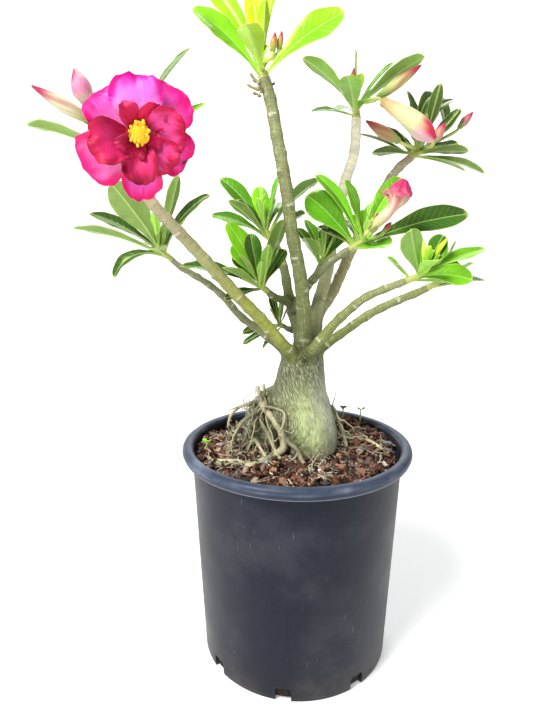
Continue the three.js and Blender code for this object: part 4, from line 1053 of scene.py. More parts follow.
def stem_skin(points, normals, name, k):
    """What one stem gives to the body's skin: tint with painted light on its upper side and painted shade on
    its underside, grain, how far outside it each point is, and a push.

    Leaf scars wind round the stem: a pale crescent over a low pad at each, with faint rings between them.
    """
    path, radii = stem_path(name)
    gap, place, angle = near_stem(points, path, radii)
    whole = curve_length(path)
    foot, tip = (colour(code) for code in STEM_BARK[name])
    tint = mix(foot, tip, smoothstep(0.35, 0.95, place / whole))
    tint = washed(tint, ("55622c", 0.8 * smoothstep(48, 14, place)))
    tint = tint * (1 + 0.14 * layered_noise(points, 12.0, 70 + k)[:, None])
    # painted light and shade: lighter where the stem faces up, darker where it faces down
    below = np.clip(-normals @ unit([0.45, -0.1, 0.85]), 0, 1)
    above = np.clip(normals @ unit([0.45, -0.3, 0.8]), 0, 1)
    tint = tint * (1 + 0.18 * above - 0.34 * below)[:, None]
    step = np.floor(place / SCAR_SPACING + 0.5)
    turn = np.abs((angle - SCAR_TURN * step - k + math.pi) % TAU - math.pi)
    offset = place - step * SCAR_SPACING
    reach = (gap < 2.5) & (whole - place > 5) & (place > 22)
    crescent = bell(offset - np.cos(1.3 * turn), 0.6) * smoothstep(0.8, 0.45, turn) * reach
    pad = np.exp(-((offset + 1.5) / 2.6) ** 2 - (turn / 0.8) ** 2) * reach
    bands = np.cos(TAU * place / 5.7 + 1.3 * value_noise(points, 9.0, k)) * reach
    tint = washed(tint, ("eeebd8", 0.85 * crescent))
    tint = mix(tint, tint * 0.62, 0.5 * pad * (1 - crescent))
    tint = tint * (1 + 0.05 * bands[:, None])
    push = np.where(gap < 3.0, 0.55 * pad - 0.25 * crescent + 0.07 * bands, 0)
    push = push * np.clip(1 - np.abs(gap) / 3, 0, 1)
    return tint, stacked(place + 61.0 * k, angle * 5.5, 2.0 + k), np.where(gap < 8, gap, FAR_OFF), push


def body_form():
    """One skin over the caudex and stems, where each point takes its look from what it lies nearest to."""
    points, quads, edges = remeshed(body_solids())
    crown = bell(points[:, 2] - 276, 24)
    points = relaxed(points, edges, 0.35 + 0.25 * crown, 5)
    points = relaxed(points, edges, 0.55 * (crown > 0.25) * crown, 14)
    normals = point_normals(points, quads)
    x, y, z = points.T
    around_caudex = np.arctan2(y + 4, x - 4)
    caudex_grain = stacked(z, around_caudex * np.clip(np.hypot(y + 4, x - 4), 6, 30), 1.0)
    beyond_caudex = np.where(z > 282, FAR_OFF, -6 * smoothstep(268, 252, z) + 1.5)
    skins = [(caudex_tint(points, normals), caudex_grain, beyond_caudex, np.zeros(len(points)))]
    skins += [stem_skin(points, normals, name, k) for k, name in enumerate(STEMS)]
    tints, grains, outside, pushes = (np.array(values) for values in zip(*skins))
    nearest_stems = np.sort(outside[1:], axis=0)
    # painted shade in the joints where two stems meet
    shaded_joint = bell(nearest_stems[1] - nearest_stems[0], 1.5) * smoothstep(262, 271, z) * smoothstep(345, 318, z)
    weight = np.exp(-(outside - outside.min(0)) / 1.6)
    weight /= weight.sum(0)
    tint = np.einsum("kp,kpc->pc", weight, tints)
    grain = grains[outside.argmin(0), np.arange(len(points))]
    fissures = layered_noise(points * [1, 1, 0.22], 3.4, 31, 2)
    low_part = smoothstep(275, 255, z)
    # painted shade in the crotch at the front of the crown and in the crease behind the hanging roots
    shaded_crotch = np.exp(-((points - [5, -17, 272]) ** 2 / [13, 500, 60]).sum(1)) * (y < 0)
    shaded_crease = bell(x + 13, 3.6) * smoothstep(234, 224, z) * (y < 2)
    push = pushes.sum(0)
    push += (0.28 * fissures * (0.25 + 0.75 * low_part)
             + 0.35 * layered_noise(points, 8.0, 33) * (0.15 + 0.85 * low_part))
    push += 0.3 * low_part * np.sin(5 * around_caudex + z / 14 + 2 * value_noise(points, 24.0, 12))
    push -= 1.3 * shaded_joint
    push -= 1.1 * shaded_crease
    points = points + shaded_crotch[:, None] * [0, 3.8, 0]
    # the painted shade of the joints, the crotch and the crease
    tint = washed(tint, ("2f3018", 0.62 * shaded_joint), ("2c2818", 0.85 * shaded_crotch), ("36321f", 0.75 * shaded_crease))
    tint = tint * (1 + 0.35 * np.clip(fissures, -0.7, 0.7) * (0.3 + 0.7 * low_part))[:, None]
    tint = washed(tint, ("54493a", 0.75 * smoothstep(193, 184, z)))
    skin = form(points + normals * push[:, None], [quads], tint, grain)
    return joined([skin] + root_forms() + dried_stubs())


# The turn of each stub round the tall stem, its height by the stem's end, and its length
STUBS = ((182, -7, 11), (205, -3, 9), (165, -12, 6), (150, -2, 7), (240, -9, 5), (20, -5, 5))


def dried_stubs():
    """Withered leaf and flower stalks left on the tall stem, just under its leaves."""
    rng = np.random.default_rng(61)
    forms = []
    for turn, height, length in STUBS:
        foot = np.array(STEMS["tall_centre"][0][-1]) + heading(turn) * 4.2 + [0, 0, height]
        tip = foot + heading(turn) * length * 0.85 + [0, 0, length * rng.uniform(0.1, 0.7)]
        middle = (foot + tip) / 2 + rng.normal(0, 0.8, 3)
        skin = mix(colour("7a6a48"), colour("b0b070"), rng.random())
        radii = along([1.9, 1.2, 0.9, 1.3, 0.6], np.linspace(0, 1, 14))
        forms.append(tube(smooth_curve([foot, middle, tip], 14), radii, 9, skin, 80.0))
    return forms


def wandering(path, size, step, seeds):
    """Noise for each point and axis, to bend a path with."""
    return np.stack([value_noise(path + step * axis, size, seeds[axis]) for axis in range(3)], axis=1)


def root_forms():
    rng = np.random.default_rng(5)
    forms = []
    pale, old, bright = colour("b6b096"), colour("75745a"), colour("c4bf9a")
    for k, (points, radii) in enumerate(ROOTS):
        placed = ground_points(points)
        path = smooth_curve(placed, int(curve_length(placed) / 1.6))
        share = np.linspace(0, 1, len(path))
        path = path + 0.7 * wandering(path, 9.0, 100, [k, k, k]) * np.sin(np.pi * share)[:, None]
        thick = along(radii, share) * (1 + 0.16 * value_noise(path, 5.0, k) + 0.06 * np.sin(share * 70))
        skin = mix(old, bright, smoothstep(0.2, 0.95, share + (0.6 if k == 0 else 0)))
        skin = skin * (1 + 0.35 * value_noise(path, 5.0, 9 + k)[:, None])
        forms.append(tube(path, thick, 12, skin, 20.0 + k))
        forms += [rootlet(path, thick, rng, pale) for _ in range(9 if len(points) > 4 else 3)]
    for points, radii in BURIED_ROOTS:
        forms.append(tube(smooth_curve(points, 24), along(radii, np.linspace(0, 1, 24)), 12, old, 40.0))
    forms += [fan_root(rng, mix(old, bright, rng.random())) for _ in range(8)]
    forms += [loose_root(rng, mix(pale, bright, rng.random())) for _ in range(44)]
    return forms


def rootlet(path, thick, rng, tint):
    """A hair root that leaves a root, curls and goes down to the soil."""
    k = int(rng.uniform(0.15, 0.95) * (len(path) - 1))
    place = path[k].copy()
    way = unit(rng.normal(size=3) * [1, 1, 0.5] + [0, -0.4, -0.1])
    points = [place]
    for _ in range(int(rng.integers(6, 14))):
        way = unit(way + rng.normal(size=3) * 0.45 + [0, 0, -0.16])
        place = place + way * 2.6
        place[2] = max(place[2], soil_height(place[0], place[1]) + 2.4)
        points.append(place.copy())
    curve = smooth_curve(points, 3 * len(points))
    radius = min(0.75, 0.42 * thick[k]) * np.linspace(1, 0.45, len(curve))
    return tube(curve, radius, 6, tint * rng.uniform(0.75, 1.2), 50.0)


def fan_root(rng, tint):
    """A thin root that hangs from the cluster's head down to the soil at the front left."""
    head = np.array([-28, 0, 226]) + rng.normal(0, 1.6, 3)
    foot_x, foot_y = rng.uniform(-64, -10), rng.uniform(-36, 2)
    foot = np.array([foot_x, foot_y, soil_height(foot_x, foot_y) + 1.5])
    out = unit([foot[0] - head[0], foot[1] - head[1], 0]) * rng.uniform(2, 9)
    points = [head, head + 0.3 * (foot - head) + out + [0, 0, rng.uniform(1, 6)],
              head + 0.65 * (foot - head) + 1.2 * out + rng.normal(0, 2.2, 3), foot]
    path = smooth_curve(points, 40)
    path = path + 0.9 * wandering(path, 6.0, 50, [int(rng.integers(99)) for _ in range(3)])
    radii = rng.uniform(0.4, 0.95) * np.linspace(1.1, 0.6, 40)
    return tube(path, radii, 8, tint * rng.uniform(0.6, 1.05), 55.0)


def loose_root(rng, tint):
    """A thin straw-like root that runs over the soil near the caudex."""
    turn = rng.uniform(0, TAU)
    start = np.array([-14 + 40 * math.cos(turn) * rng.uniform(0.75, 1),
                      6 + 34 * math.sin(turn) * rng.uniform(0.75, 1)])
    way = turn + rng.uniform(-1, 1)
    points = []
    for _ in range(int(rng.integers(6, 13))):
        points.append([*start, soil_height(*start) + rng.uniform(1.6, 4.2)])
        way += rng.uniform(-0.6, 0.6)
        after = start + 5.2 * np.array([math.cos(way), math.sin(way)])
        if np.hypot(*after) > 84:
            break
        start = after
    if len(points) < 3:
        points += [[start[0] - 3, start[1], points[-1][2]], [start[0] - 5, start[1] + 2, points[-1][2]]]
    curve = smooth_curve(points, 4 * len(points))
    radii = rng.uniform(0.35, 0.8) * np.linspace(1, 0.6, len(curve))
    return tube(curve, radii, 6, tint * rng.uniform(0.5, 1.1), 60.0)


settle(make_piece("trunk_and_stems", body_form(), BARK), "grey_bark", "caudex_and_stems")


# The flower

# Each petal: angle round the flower, rise to the front, length, width, bend back, twist, cup, lift; then
# the colours of its foot, middle and rim, and how crinkled it is
PETALS = [
    ([142, 14, 32, 29, 35, 10, 0.1, 0], ("f49ade", "ee5cc4", "ea0f80"), 1.1),
    ([42, 14, 34, 31, 35, -10, 0.1, 0], ("f58cd2", "f050bc", "e40c7c"), 1.1),
    ([-25, 16, 31, 28, 40, 10, 0.1, 0], ("f08cd0", "ee4cb4", "e40c74"), 1.1),
    ([-150, 18, 37, 33, 40, -10, 0.1, 0], ("ee9cc8", "ee6cb4", "e40c70"), 1.1),
    ([-89, 14, 36, 24, 35, 0, 0.15, 0], ("ee8ad0", "ee50bc", "e60a6c"), 1.1),
    ([92, 22, 31, 33, 40, 0, 0.1, 1], ("f6c0f6", "f07cec", "ee10a0"), 1.3),
    ([196, 50, 30, 28, 50, 12, 0.25, 0], ("cc1450", "c41e60", "b40c40"), 1.5),
    ([50, 58, 21, 16, 50, 12, 0.3, 0], ("e0305f", "d41048", "dc1854"), 1.5),
    ([4, 48, 27, 30, 45, 12, 0.25, 0], ("e8448c", "e44a96", "cc0c48"), 1.5),
    ([-42, 40, 26, 22, 35, 12, 0.25, 0], ("dc3480", "e44690", "c00c40"), 1.4),
    ([-90, 50, 29, 22, 40, 12, 0.3, 0], ("c01048", "d02464", "a00c36"), 1.4),
]
# Smaller petals, rolled in at the heart
HEART_PETALS = [
    ([116, 64, 20, 12, 60, 16, 0.4, 1.5], ("c8144c", "c01248", "cc1654"), 1.2),
    ([205, 72, 17, 9, 50, -20, 0.5, 1.5], ("b8104a", "a40c40", "b0144a"), 1.2),
    ([-20, 60, 15, 10, 55, 18, 0.5, 1.5], ("d82060", "c81858", "b41048"), 1.2),
    ([-100, 62, 15, 11, 60, 10, 0.5, 1.5], ("cc1850", "c01248", "a00c38"), 1.2),
]
PETAL_ROWS = np.concatenate([np.linspace(0, 0.84, 30), np.linspace(0.87, 0.995, 13)])
PETAL_COLUMNS = np.concatenate([np.linspace(-1, -0.86, 4), np.linspace(-0.8, 0.8, 25),
                                np.linspace(0.86, 1, 4)])
# The inner petals stand up steeper than this; they are redder and curl over more than the outer ones
INNER_PETAL_RISE = 30
# The outer petal with a brown patch on its rim
BROWN_PATCH_PETAL = 2


def flower_frame():
    right = unit(np.cross(UP, FLOWER_FACING))
    matrix = np.eye(4)
    matrix[:3] = np.stack([right, np.cross(FLOWER_FACING, right), FLOWER_FACING, FLOWER_CENTRE], axis=1)
    return matrix


FLOWER_FRAME = flower_frame()


def petal(spec, colours, crinkled, k):
    azimuth, elevation, length, width, arch, twist, cup, lift_up = spec
    outer = elevation < INNER_PETAL_RISE
    rng = np.random.default_rng(300 + k)
    t, s = PETAL_ROWS, PETAL_COLUMNS
    along_it, far = t[:, None], np.abs(s)
    base = heading(azimuth) * 3.4 + [0, 0, lift_up - 3.4]
    half = width / 2 * np.maximum(petal_outline(t), 0.13)
    half = half * (1 + 0.05 * np.sin(TAU * 1.3 * t + rng.uniform(0, TAU)) * t)
    beside = s * half[:, None]
    ruffle = 0.07 * width * along_it * far * np.sin(TAU * 1.6 * along_it + 2.1 * k + 2.0 * (s > 0))
    round_edge = np.arctan2(beside, length * (along_it - 0.25))
    to_rim = np.maximum(far * smoothstep(0.2, 0.6, along_it), (along_it - 0.35) / 0.65)
    near_rim = smoothstep(0.45, 1.0, to_rim)
    frill = sum(strength * np.sin(turns * round_edge * 3 + rng.uniform(0, TAU))
                for strength, turns in ((0.9, 2.0), (0.6, 3.4), (0.35, 5.7)))
    rolled = -1.5 * smoothstep(0.80, 1.0, along_it) * (1 if outer else 1.5)
    lift = half[:, None] * far ** 2 * cup + ruffle + crinkled * near_rim ** 1.5 * frill + rolled
    middle = blade(base, azimuth, elevation, length, arch, twist, t, s, half, lift, roll=rng.uniform(-6, 6))
    scallop = 0.55 * near_rim * value_noise(stacked(round_edge * 6, float(k), 0.0), 0.7, k)
    outward = unit(middle - middle[:1, len(s) // 2][None])
    middle = middle + outward * (scallop * 1.6)[..., None]
    middle[..., 2] += 0.8 * layered_noise(middle, 10.0, 40 + k) * along_it
    foot, centre, rim = (colour(code) for code in colours)
    streak = value_noise(stacked(s * 9, along_it * 1.3, 0.0), 1.0, 80 + k)
    rim_share = np.maximum(smoothstep(0.5, 0.88, far * smoothstep(0.1, 0.6, along_it) + 0.07 * streak),
                           smoothstep(0.66, 0.93, along_it + 0.07 * streak))
    tint = mix(foot, centre, smoothstep(0.12, 0.62, along_it + 0.12 * streak))
    tint = mix(tint, rim, rim_share)
    edge = smoothstep(0.93, 1.0, np.maximum(far * (along_it > 0.3), along_it))
    tint = mix(tint, rim * (0.85 if outer else 0.5), 0.75 * edge)
    lines = np.clip(streak, 0, 1)
    if outer:
        tint = washed(tint, ("fbe3f2", 0.3 * lines * smoothstep(0.75, 0.3, along_it)))
    else:
        tint = washed(tint, ("6d0628", 0.45 * lines * smoothstep(0.9, 0.3, along_it)))
    if k == BROWN_PATCH_PETAL:
        bite = smoothstep(0.34, 0.1, np.hypot((s - 0.3) * 1.4, (along_it - 0.93) * 3) + 0.1 * streak)
        tint = washed(tint, ("4a2418", 0.9 * bite))
    tint = washed(tint, ("f6e08a", 0.7 * smoothstep(0.16, 0.02, along_it)))
    back = washed(tint, ("f7c9e2", 0.45 if outer else 0.12))
    thin = 0.34 * (1 - 0.35 * far ** 3)
    grain = stacked(along_it * length + 50.0 * k, beside + 90.0 * k, float(k))
    return slab(middle, thin, thin, tint, back, grain)


def lathe_form(profile, sides, tint, ripple):
    """A closed turned body about +Z, from its foot to its top, with five slight folds round it."""
    profile = np.array(profile, float)
    heights = profile[:, 1]
    angles = ring_angles(sides)
    radii = profile[:, :1] * (1 + ripple * np.sin(5 * angles)[None])
    points = with_ends(about_z(radii, angles, heights[:, None]), [0, 0, heights[0]], [0, 0, heights[-1]])
    grain = with_ends(stacked(heights[:, None], angles * radii, 0.0), [heights[0], 0, 0], [heights[-1], 0, 0])
    return form(points, ring_faces(len(profile), sides), ring_tint(tint, len(profile), sides), grain)


def corolla_form():
    forms = [petal(*each, k) for k, each in enumerate(PETALS + HEART_PETALS)]
    heights = np.linspace(-TUBE_LENGTH, -2.6, 24)
    radii = np.interp(heights, [-20, -10, -2], [2.6, 4.4, 6.0])
    skin = mix(colour("b9c46f"), colour("e9a9bf"), smoothstep(-17, -7, heights))
    forms.append(lathe_form(np.stack([radii, heights], axis=1), 30, skin, 0.05))
    return moved(joined(forms), FLOWER_FRAME)


def throat_form():
    """A yellow knob with stamens, a little longer than it is wide."""
    rng = np.random.default_rng(77)
    profile = [[2.2, -2.3], [2.8, -0.8], [3.4, 0.8], [4.2, 2.6], [5.0, 4.4], [5.2, 6.0], [4.6, 7.6],
               [3.0, 8.6], [1.0, 9]]
    skin = mix(colour("d98a1c"), colour("f4c400"), smoothstep(-1, 5, np.array(profile)[:, 1]))
    forms = [lathe_form(profile, 40, skin, 0.09)]
    share = np.linspace(0, 1, 12)
    thick = 0.8 * (1 - 0.3 * share) + 0.35 * bell(share - 0.93, 0.1)
    for k in range(40):
        turn = k * 2.4
        bends = [(2.4, turn, 2), (3.6, turn, 5), (rng.uniform(3.0, 6.4), turn + 0.3, rng.uniform(5.5, 9.5))]
        points = [[reach * math.cos(way), reach * math.sin(way), rise] for reach, way, rise in bends]
        skin = mix(colour("e8a800"), colour("ffd800"), share)
        forms.append(tube(smooth_curve(points, 12), thick, 8, skin, 5.0))
    whole = joined(forms)
    whole["points"][:, 1] = 1.22 * whole["points"][:, 1] + 0.6
    return moved(whole, FLOWER_FRAME)


def sepals(foot, towards, radius, length, tint, rng, k):
    """Five small pointed sepals that clasp the foot of a flower or bud."""
    matrix = Vector(towards).to_track_quat("Z", "Y").to_matrix().to_4x4()
    matrix.translation = Vector(foot)
    t, s = np.linspace(0, 1, 12), np.linspace(-1, 1, 7)
    half = radius * 0.62 * np.sin(np.pi * (0.16 + 0.8 * t)) * (1 - 0.55 * t) + 0.12
    lift = -half[:, None] * np.abs(s) ** 2 * 0.5
    skin = washed(tint, ("b4475a", 0.6 * smoothstep(0.55, 1, t)[:, None]))
    grain = stacked(t[:, None] * length, s * 2, float(k))
    forms = []
    for number in range(5):
        azimuth = 72.0 * number + rng.uniform(-8, 8)
        middle = blade(heading(azimuth) * radius * 0.75, azimuth, 76, length, -12, 0, t, s, half, lift)
        forms.append(slab(middle, 0.22, 0.22, skin, skin * 0.85, grain))
    return moved(joined(forms), matrix)


def calyx_form():
    rng = np.random.default_rng(9)
    path = spaced(CALYX_PATH, 14)
    share = np.linspace(0, 1, 14)
    green = colour("8fae4a")
    cup = tube(path, along([2, 4, 4.4], share), 24, mix(green, colour("a8bd5a"), share), 1.0)
    return joined([cup, sepals(path[4], FLOWER_FACING, 3.6, 9, green, rng, 3)])


# Buds: bands of colour from foot to tip, and how many folds wind round each
BUD_SKINS = {
    "bud_top_left": ("93b030", "b8a048", "c01c40"), "bud_top_right": ("93b030", "b89c48", "b81c40"),
    "bud_flower_long": ("a4b444", "e6e2b8", "b8185a"), "bud_flower_round": ("e6d8c0", "e890b4", "a81048"),
    "bud_flower_thin": ("a0ae50", "c2ac68", "b84468"), "bud_tall_right_upper": ("7f9c40", "b8bc78", "a81c40"),
    "bud_tall_right_red": ("8ca848", "b8583c", "b01c38"),
    "bud_tall_right_hanging": ("dcb480", "e8e6ac", "d00c48"),
    "bud_back_right_left": ("98a058", "b09060", "98303c"),
    "bud_back_right_middle": ("98a458", "c8a088", "c8185a"),
    "bud_back_right_far": ("98a458", "c48a80", "b81c54"),
    "bud_right_front_left": ("8ca848", "bc5c44", "b81c40"),
    "bud_right_front_right": ("8ca848", "bc5c44", "b81c40"), "faded_flower": ("b0c070", "e4d0b0", "dc2870"),
}
# The sunny side of the buds that are sharply two-coloured
SUN_SIDES = {"bud_tall_right_hanging": [0.62, -0.35, 0.75], "bud_flower_round": [-1, -0.2, 0.3]}
BUD_SIDES = 30


def bud_tint(name, path, share, winding):
    """A bud's colours: bands from foot to tip, stripes in its folds, painted shade in the creases between its
    folds, and red where the sun reaches it.
    """
    foot, middle, tip = (colour(code) for code in BUD_SKINS[name])
    sharp = name in SUN_SIDES
    down = share[:, None]
    tint = mix(mix(foot, middle, smoothstep(0.05, 0.4, down)), tip, smoothstep(0.6, 0.9, down))
    stripe = smoothstep(0.45, 0.95, winding)
    tint = mix(tint, tip, (0.12 if sharp else 0.55) * stripe * smoothstep(0.1, 0.6, down))
    # painted shade: darker in the creases between the folds
    tint = mix(tint, tint * 0.55, 0.5 * smoothstep(0.12, 0.0, winding) * smoothstep(0.1, 0.5, down))
    tint = mix(tint, tip * 0.7, 0.6 * smoothstep(0.93, 1.0, down))
    _, side, over = frames_along(path)
    angles = ring_angles(BUD_SIDES)
    facing = np.cos(angles)[None, :, None] * side[:, None] + np.sin(angles)[None, :, None] * over[:, None]
    lit = facing @ unit(SUN_SIDES.get(name, [-0.5, -0.1, 1]))
    if not sharp:
        return mix(tint, tip, 0.75 * smoothstep(0.2, 0.8, lit) * smoothstep(0.35, 0.75, down))
    head = smoothstep(0.6, 0.78, down)
    tint = mix(tint, tip, 0.95 * smoothstep(0.42, 0.64, lit) * head)
    return washed(tint, ("f8d0dc", 0.75 * smoothstep(0.4, -0.5, lit) * head))


def bud_form(name):
    _, points, radii = BUDS[name]
    if not isinstance(radii, list):
        radii = [share * radii for share in BUD_OUTLINE]
    rng = own_draws(name)
    length = curve_length(smooth_curve(points, 60))
    rows = int(max(26, length / 0.7))
    path = smooth_curve(points, rows)
    share = np.linspace(0, 1, rows)
    down = share[:, None]
    smooth = smooth_curve(stacked(np.linspace(0, 1, len(radii)) * 100, radii, 0.0), 300)
    size = np.maximum(np.interp(share * 100, smooth[:, 0], smooth[:, 1]), 0.35)
    angles = ring_angles(BUD_SIDES)
    winding = np.sin(3 * angles + 5.5 * down + 1) * 0.5 + 0.5
    fold = (winding ** 3 - 0.25) * 0.1 * smoothstep(0.15, 0.5, down)
    foot, middle, tip = (colour(code) for code in BUD_SKINS[name])
    if name == "faded_flower":
        fold = fold + smoothstep(0.5, 0.75, down) * (0.22 * np.sin(7 * angles + 9 * down)
                                                     + 0.12 * np.sin(12 * angles - 15 * down))
    tint = bud_tint(name, path, share, winding)
    sepal_width = max(1.5, min(3.4, 0.5 * max(radii)))
    forms = [tube(path, size[:, None] * (1 + fold), BUD_SIDES, tint, float(len(name))),
             sepals(path[0], unit(path[2] - path[0]), sepal_width, min(7, 0.33 * length),
                    mix(foot, colour("9cb450"), 0.6), rng, 2)]
    if name == "faded_flower":
        forms += faded_petals(path, tip, middle, rng)
    return joined(forms)


def faded_petals(path, tip, middle, rng):
    """Limp petals folded over the head of the faded flower."""
    centre = path[int(0.62 * len(path))]
    t, s = np.linspace(0, 1, 16), np.linspace(-1, 1, 11)
    along_it = t[:, None]
    half = 4.6 * np.sin(np.pi * (0.12 + 0.8 * t)) ** 0.7
    skin = mix(colour("f3dcc0"), tip, smoothstep(0.1, 0.8, along_it))
    forms = []
    for k in range(7):
        azimuth = GOLDEN_ANGLE * k
        base = centre + heading(azimuth) * 4.5 + [0, 0, rng.uniform(-2, 5)]
        lift = 1.1 * np.sin(9 * along_it + 3 * s + k) * along_it
        rise, length, arch = rng.uniform(60, 90), rng.uniform(9, 13), rng.uniform(60, 130)
        surface = blade(base, azimuth, rise, length, arch, 0, t, s, half, lift)
        grain = stacked(along_it * 12, s * 5, float(k))
        forms.append(slab(surface, 0.28, 0.28, skin, mix(skin, middle, 0.5), grain))
    return forms


CREAM_BUDS = ("bud_flower_long", "bud_tall_right_upper", "bud_tall_right_hanging")
settle(make_piece("open_flower_petals", corolla_form(), PETAL), "petal", "flower_corolla")
settle(make_piece("open_flower_throat", throat_form(), THROAT), "throat", "flower_throat")
settle(make_piece("open_flower_calyx", calyx_form(), CALYX_SKIN), "calyx", "flower_calyx")
for bud_name in BUDS:
    settle(make_piece(f"{bud_name}_skin", bud_form(bud_name), BUD),
           "bud_cream" if bud_name in CREAM_BUDS else "bud_pink", bud_name)


# The pot

POT_SIDES = 192
FLOOR_LEVEL = 2.5
DRAIN_COUNT = 8
DRAIN_START = -99
# The bead round the rim, up its outside and down its inside, as radius and height
BEAD = [[91.5, 185.6], [92.0, 185.3], [97.3, 185.2], [98.1, 185.3], [98.5, 185.8], [98.6, 186.5],
        [99.2, 187.4], [99.8, 188.8], [100, 190.2], [99.7, 191.9], [98.9, 193.4], [97.6, 194.4],
        [96.0, 194.9], [94.4, 194.9], [92.9, 194.5], [91.7, 193.7], [90.7, 192.5], [90.1, 191.2],
        [89.9, 189.5], [89.7, 186.5]]
# The section of a drain slot, as width and height, and how far from the pot's middle a cutter begins and ends
DRAIN_SECTION = np.array([[-6.5, -4], [6.5, -4], [6.5, 9.5], [6.1, 11], [5.0, 12], [-5.0, 12], [-6.1, 11],
                          [-6.5, 9.5]])
DRAIN_REACH = (74.4, 96)


def pot_profile():
    """Radius and height round the pot's section: its base, up the outside, down the inside, and its floor."""
    base = [[10, 0], [40, 0], [70, 0], [80.5, 0], [82.3, 0.1], [83.1, 0.6]]
    outer_wall = [[83.4 + 8.0 * share, 1.5 + 184 * share] for share in np.linspace(0, 1, 40)]
    inner_wall = [[89.6 - 8.0 * share, 184.5 - 182 * share] for share in np.linspace(0, 1, 24)]
    floor = [[radius, FLOOR_LEVEL] for radius in (70, 40, 10)]
    return np.array(base + outer_wall + BEAD + inner_wall + floor)


def pot_form():
    """The pot before its slots are cut, a little out of round, with its rim bead tinted paler as painted
    light, scuffs of wear on it, painted shade under it and a painted highlight along its lower lip.
    """
    profile = pot_profile()
    heights = profile[:, 1:]
    angles = ring_angles(POT_SIDES)
    wobble = 0.22 * np.sin(2 * angles + 0.7) + 0.1 * np.sin(3 * angles)
    radii = profile[:, :1] + wobble * smoothstep(5, 60, heights)
    points = about_z(radii, angles, heights)
    inside = np.arange(len(profile))[:, None] > 60
    # painted light: the bead round the rim is tinted paler than the wall
    on_bead = smoothstep(184.5, 187, heights) * (radii > 90.5)
    # painted shade under the outer bead, and a painted highlight along its lower lip
    under = (heights < 189.5) * (radii > 98.3) * (radii < 101)
    lip_highlight = (heights < 186.0) * (radii > 96.8)
    worn = layered_noise(points * [1, 1, 6], 16.0, 15) * on_bead
    tint = washed(colour("14151f") * (1 + 0.12 * layered_noise(points, 60.0, 3)[..., None]),
                  ("3d4658", on_bead), ("1a1b1e", 0.8 * inside), ("8892a8", 0.6 * np.clip(worn, 0, 1)),
                  ("1c2029", 0.55 * np.clip(-worn, 0, 1)), ("181b25", 0.8 * under), ("7c8498", 0.8 * lip_highlight))
    grain = stacked(lengths_along(profile)[:, None], angles * 90, 0.0)
    return form(with_ends(points, [0, 0, 0], [0, 0, FLOOR_LEVEL]), ring_faces(len(profile), POT_SIDES),
                with_ends(tint), with_ends(grain, [0, 0, 0], [0, 0, 0]))


def slot_cutters():
    """Upright slots with rounded shoulders, through the foot of the wall and the edge of the floor."""
    count = len(DRAIN_SECTION)
    ends = np.arange(2 * count).reshape(2, 1, count)
    forms = []
    for k in range(DRAIN_COUNT):
        out = heading(DRAIN_START + 360 * k / DRAIN_COUNT)
        section = DRAIN_SECTION[:, :1] * np.cross(UP, out) + DRAIN_SECTION[:, 1:] * UP
        rings = [radius * out + section for radius in DRAIN_REACH]
        faces = [grid_faces(2, count, closed=True), ends[0, :, ::-1], ends[1]]
        forms.append(form(np.vstack(rings), faces, colour("15161a")))
    return joined(forms)


def darken_slots(mesh):
    """The cut faces take a dark tint of their own."""
    points = read_mesh(mesh.vertices, "co", 3) / MM
    from_middle = np.hypot(points[:, 0], points[:, 1])
    turn = np.degrees(np.arctan2(points[:, 1], points[:, 0])) - DRAIN_START
    step = 360 / DRAIN_COUNT
    beside = np.abs((turn + step / 2) % step - step / 2) * np.radians(1) * from_middle
    tint = read_mesh(mesh.attributes["tint"].data, "color", 4, np.float32)
    tint[(points[:, 2] < 12.1) & (beside < 6.9) & (from_middle > 74)] = rgba("15171d")
    mesh.attributes["tint"].data.foreach_set("color", tint.ravel())


def cut_pot(pot):
    cutter = make_piece("slot_cutters", slot_cutters(), POT_PLASTIC, smooth=False)
    cut = pot.modifiers.new("drain_slots", "BOOLEAN")
    cut.operation = "DIFFERENCE"
    cut.solver = "EXACT"
    cut.object = cutter
    mesh = evaluated_mesh(pot)
    pot.modifiers.clear()
    mesh.materials.clear()
    mesh.materials.append(POT_PLASTIC)
    mesh.polygons.foreach_set("material_index", np.zeros(len(mesh.polygons), int))
    darken_slots(mesh)
    mesh.set_sharp_from_angle(angle=math.radians(35))
    pot.data = mesh
    bpy.data.objects.remove(cutter)
    return pot


settle(cut_pot(make_piece("nursery_pot", pot_form(), POT_PLASTIC)), "pot_plastic", "pot")


# The soil

SOIL_RADIUS = 89.0
SOIL_SIDES = 150
# Rings of the filling under its top, as radius and height, down along the pot's wall and across its floor
SOIL_WALL = ((88.6, 174), (86.4, 120), (84.0, 60), (81.2, 3.0), (40, 2.8), (5, 2.8))
BARK_COLOURS = ["6f4636", "50301f", "7e5644", "2e1a14", "8f6b56", "1e1411", "5f4a42", "a88c76", "766862",
                "342c2a"]
STONE_COLOURS = ["8a9096", "d8d4ca", "b8a898"]
STRAW_COLOURS = ["b8a488", "8c7460", "d8ccb4", "6d5244"]
CHIP_SPREAD = 87.0
FIBRE_SPREAD = 82


def soil_body():
    """The filling itself, whose rough dark top shows between the chips."""
    shares = np.concatenate([np.linspace(0.02, 0.9, 46), np.linspace(0.92, 1, 8)])[:, None]
    angles = ring_angles(SOIL_SIDES)
    x, y = SOIL_RADIUS * shares * np.cos(angles), SOIL_RADIUS * shares * np.sin(angles)
    place = stacked(x, y, 0.0)
    height = soil_height(x, y) - 1.6 + (1.6 * layered_noise(place, 6.0, 4) + 0.9 * value_noise(place, 2.6, 6))
    top = stacked(x, y, height - 2.0 * smoothstep(0.94, 1, shares))
    rings = np.concatenate([top, [about_z(radius, angles, level) for radius, level in SOIL_WALL]])
    points = with_ends(rings, [0, 0, 186.0], [0, 0, 2.8])
    dark = colour("1c100d") * (1 + 0.5 * layered_noise(rings, 5.0, 8)[..., None])
    faces = ring_faces(len(rings), SOIL_SIDES, flip=True)
    return form(points, faces, with_ends(dark, last=dark[-1, -1]), points)


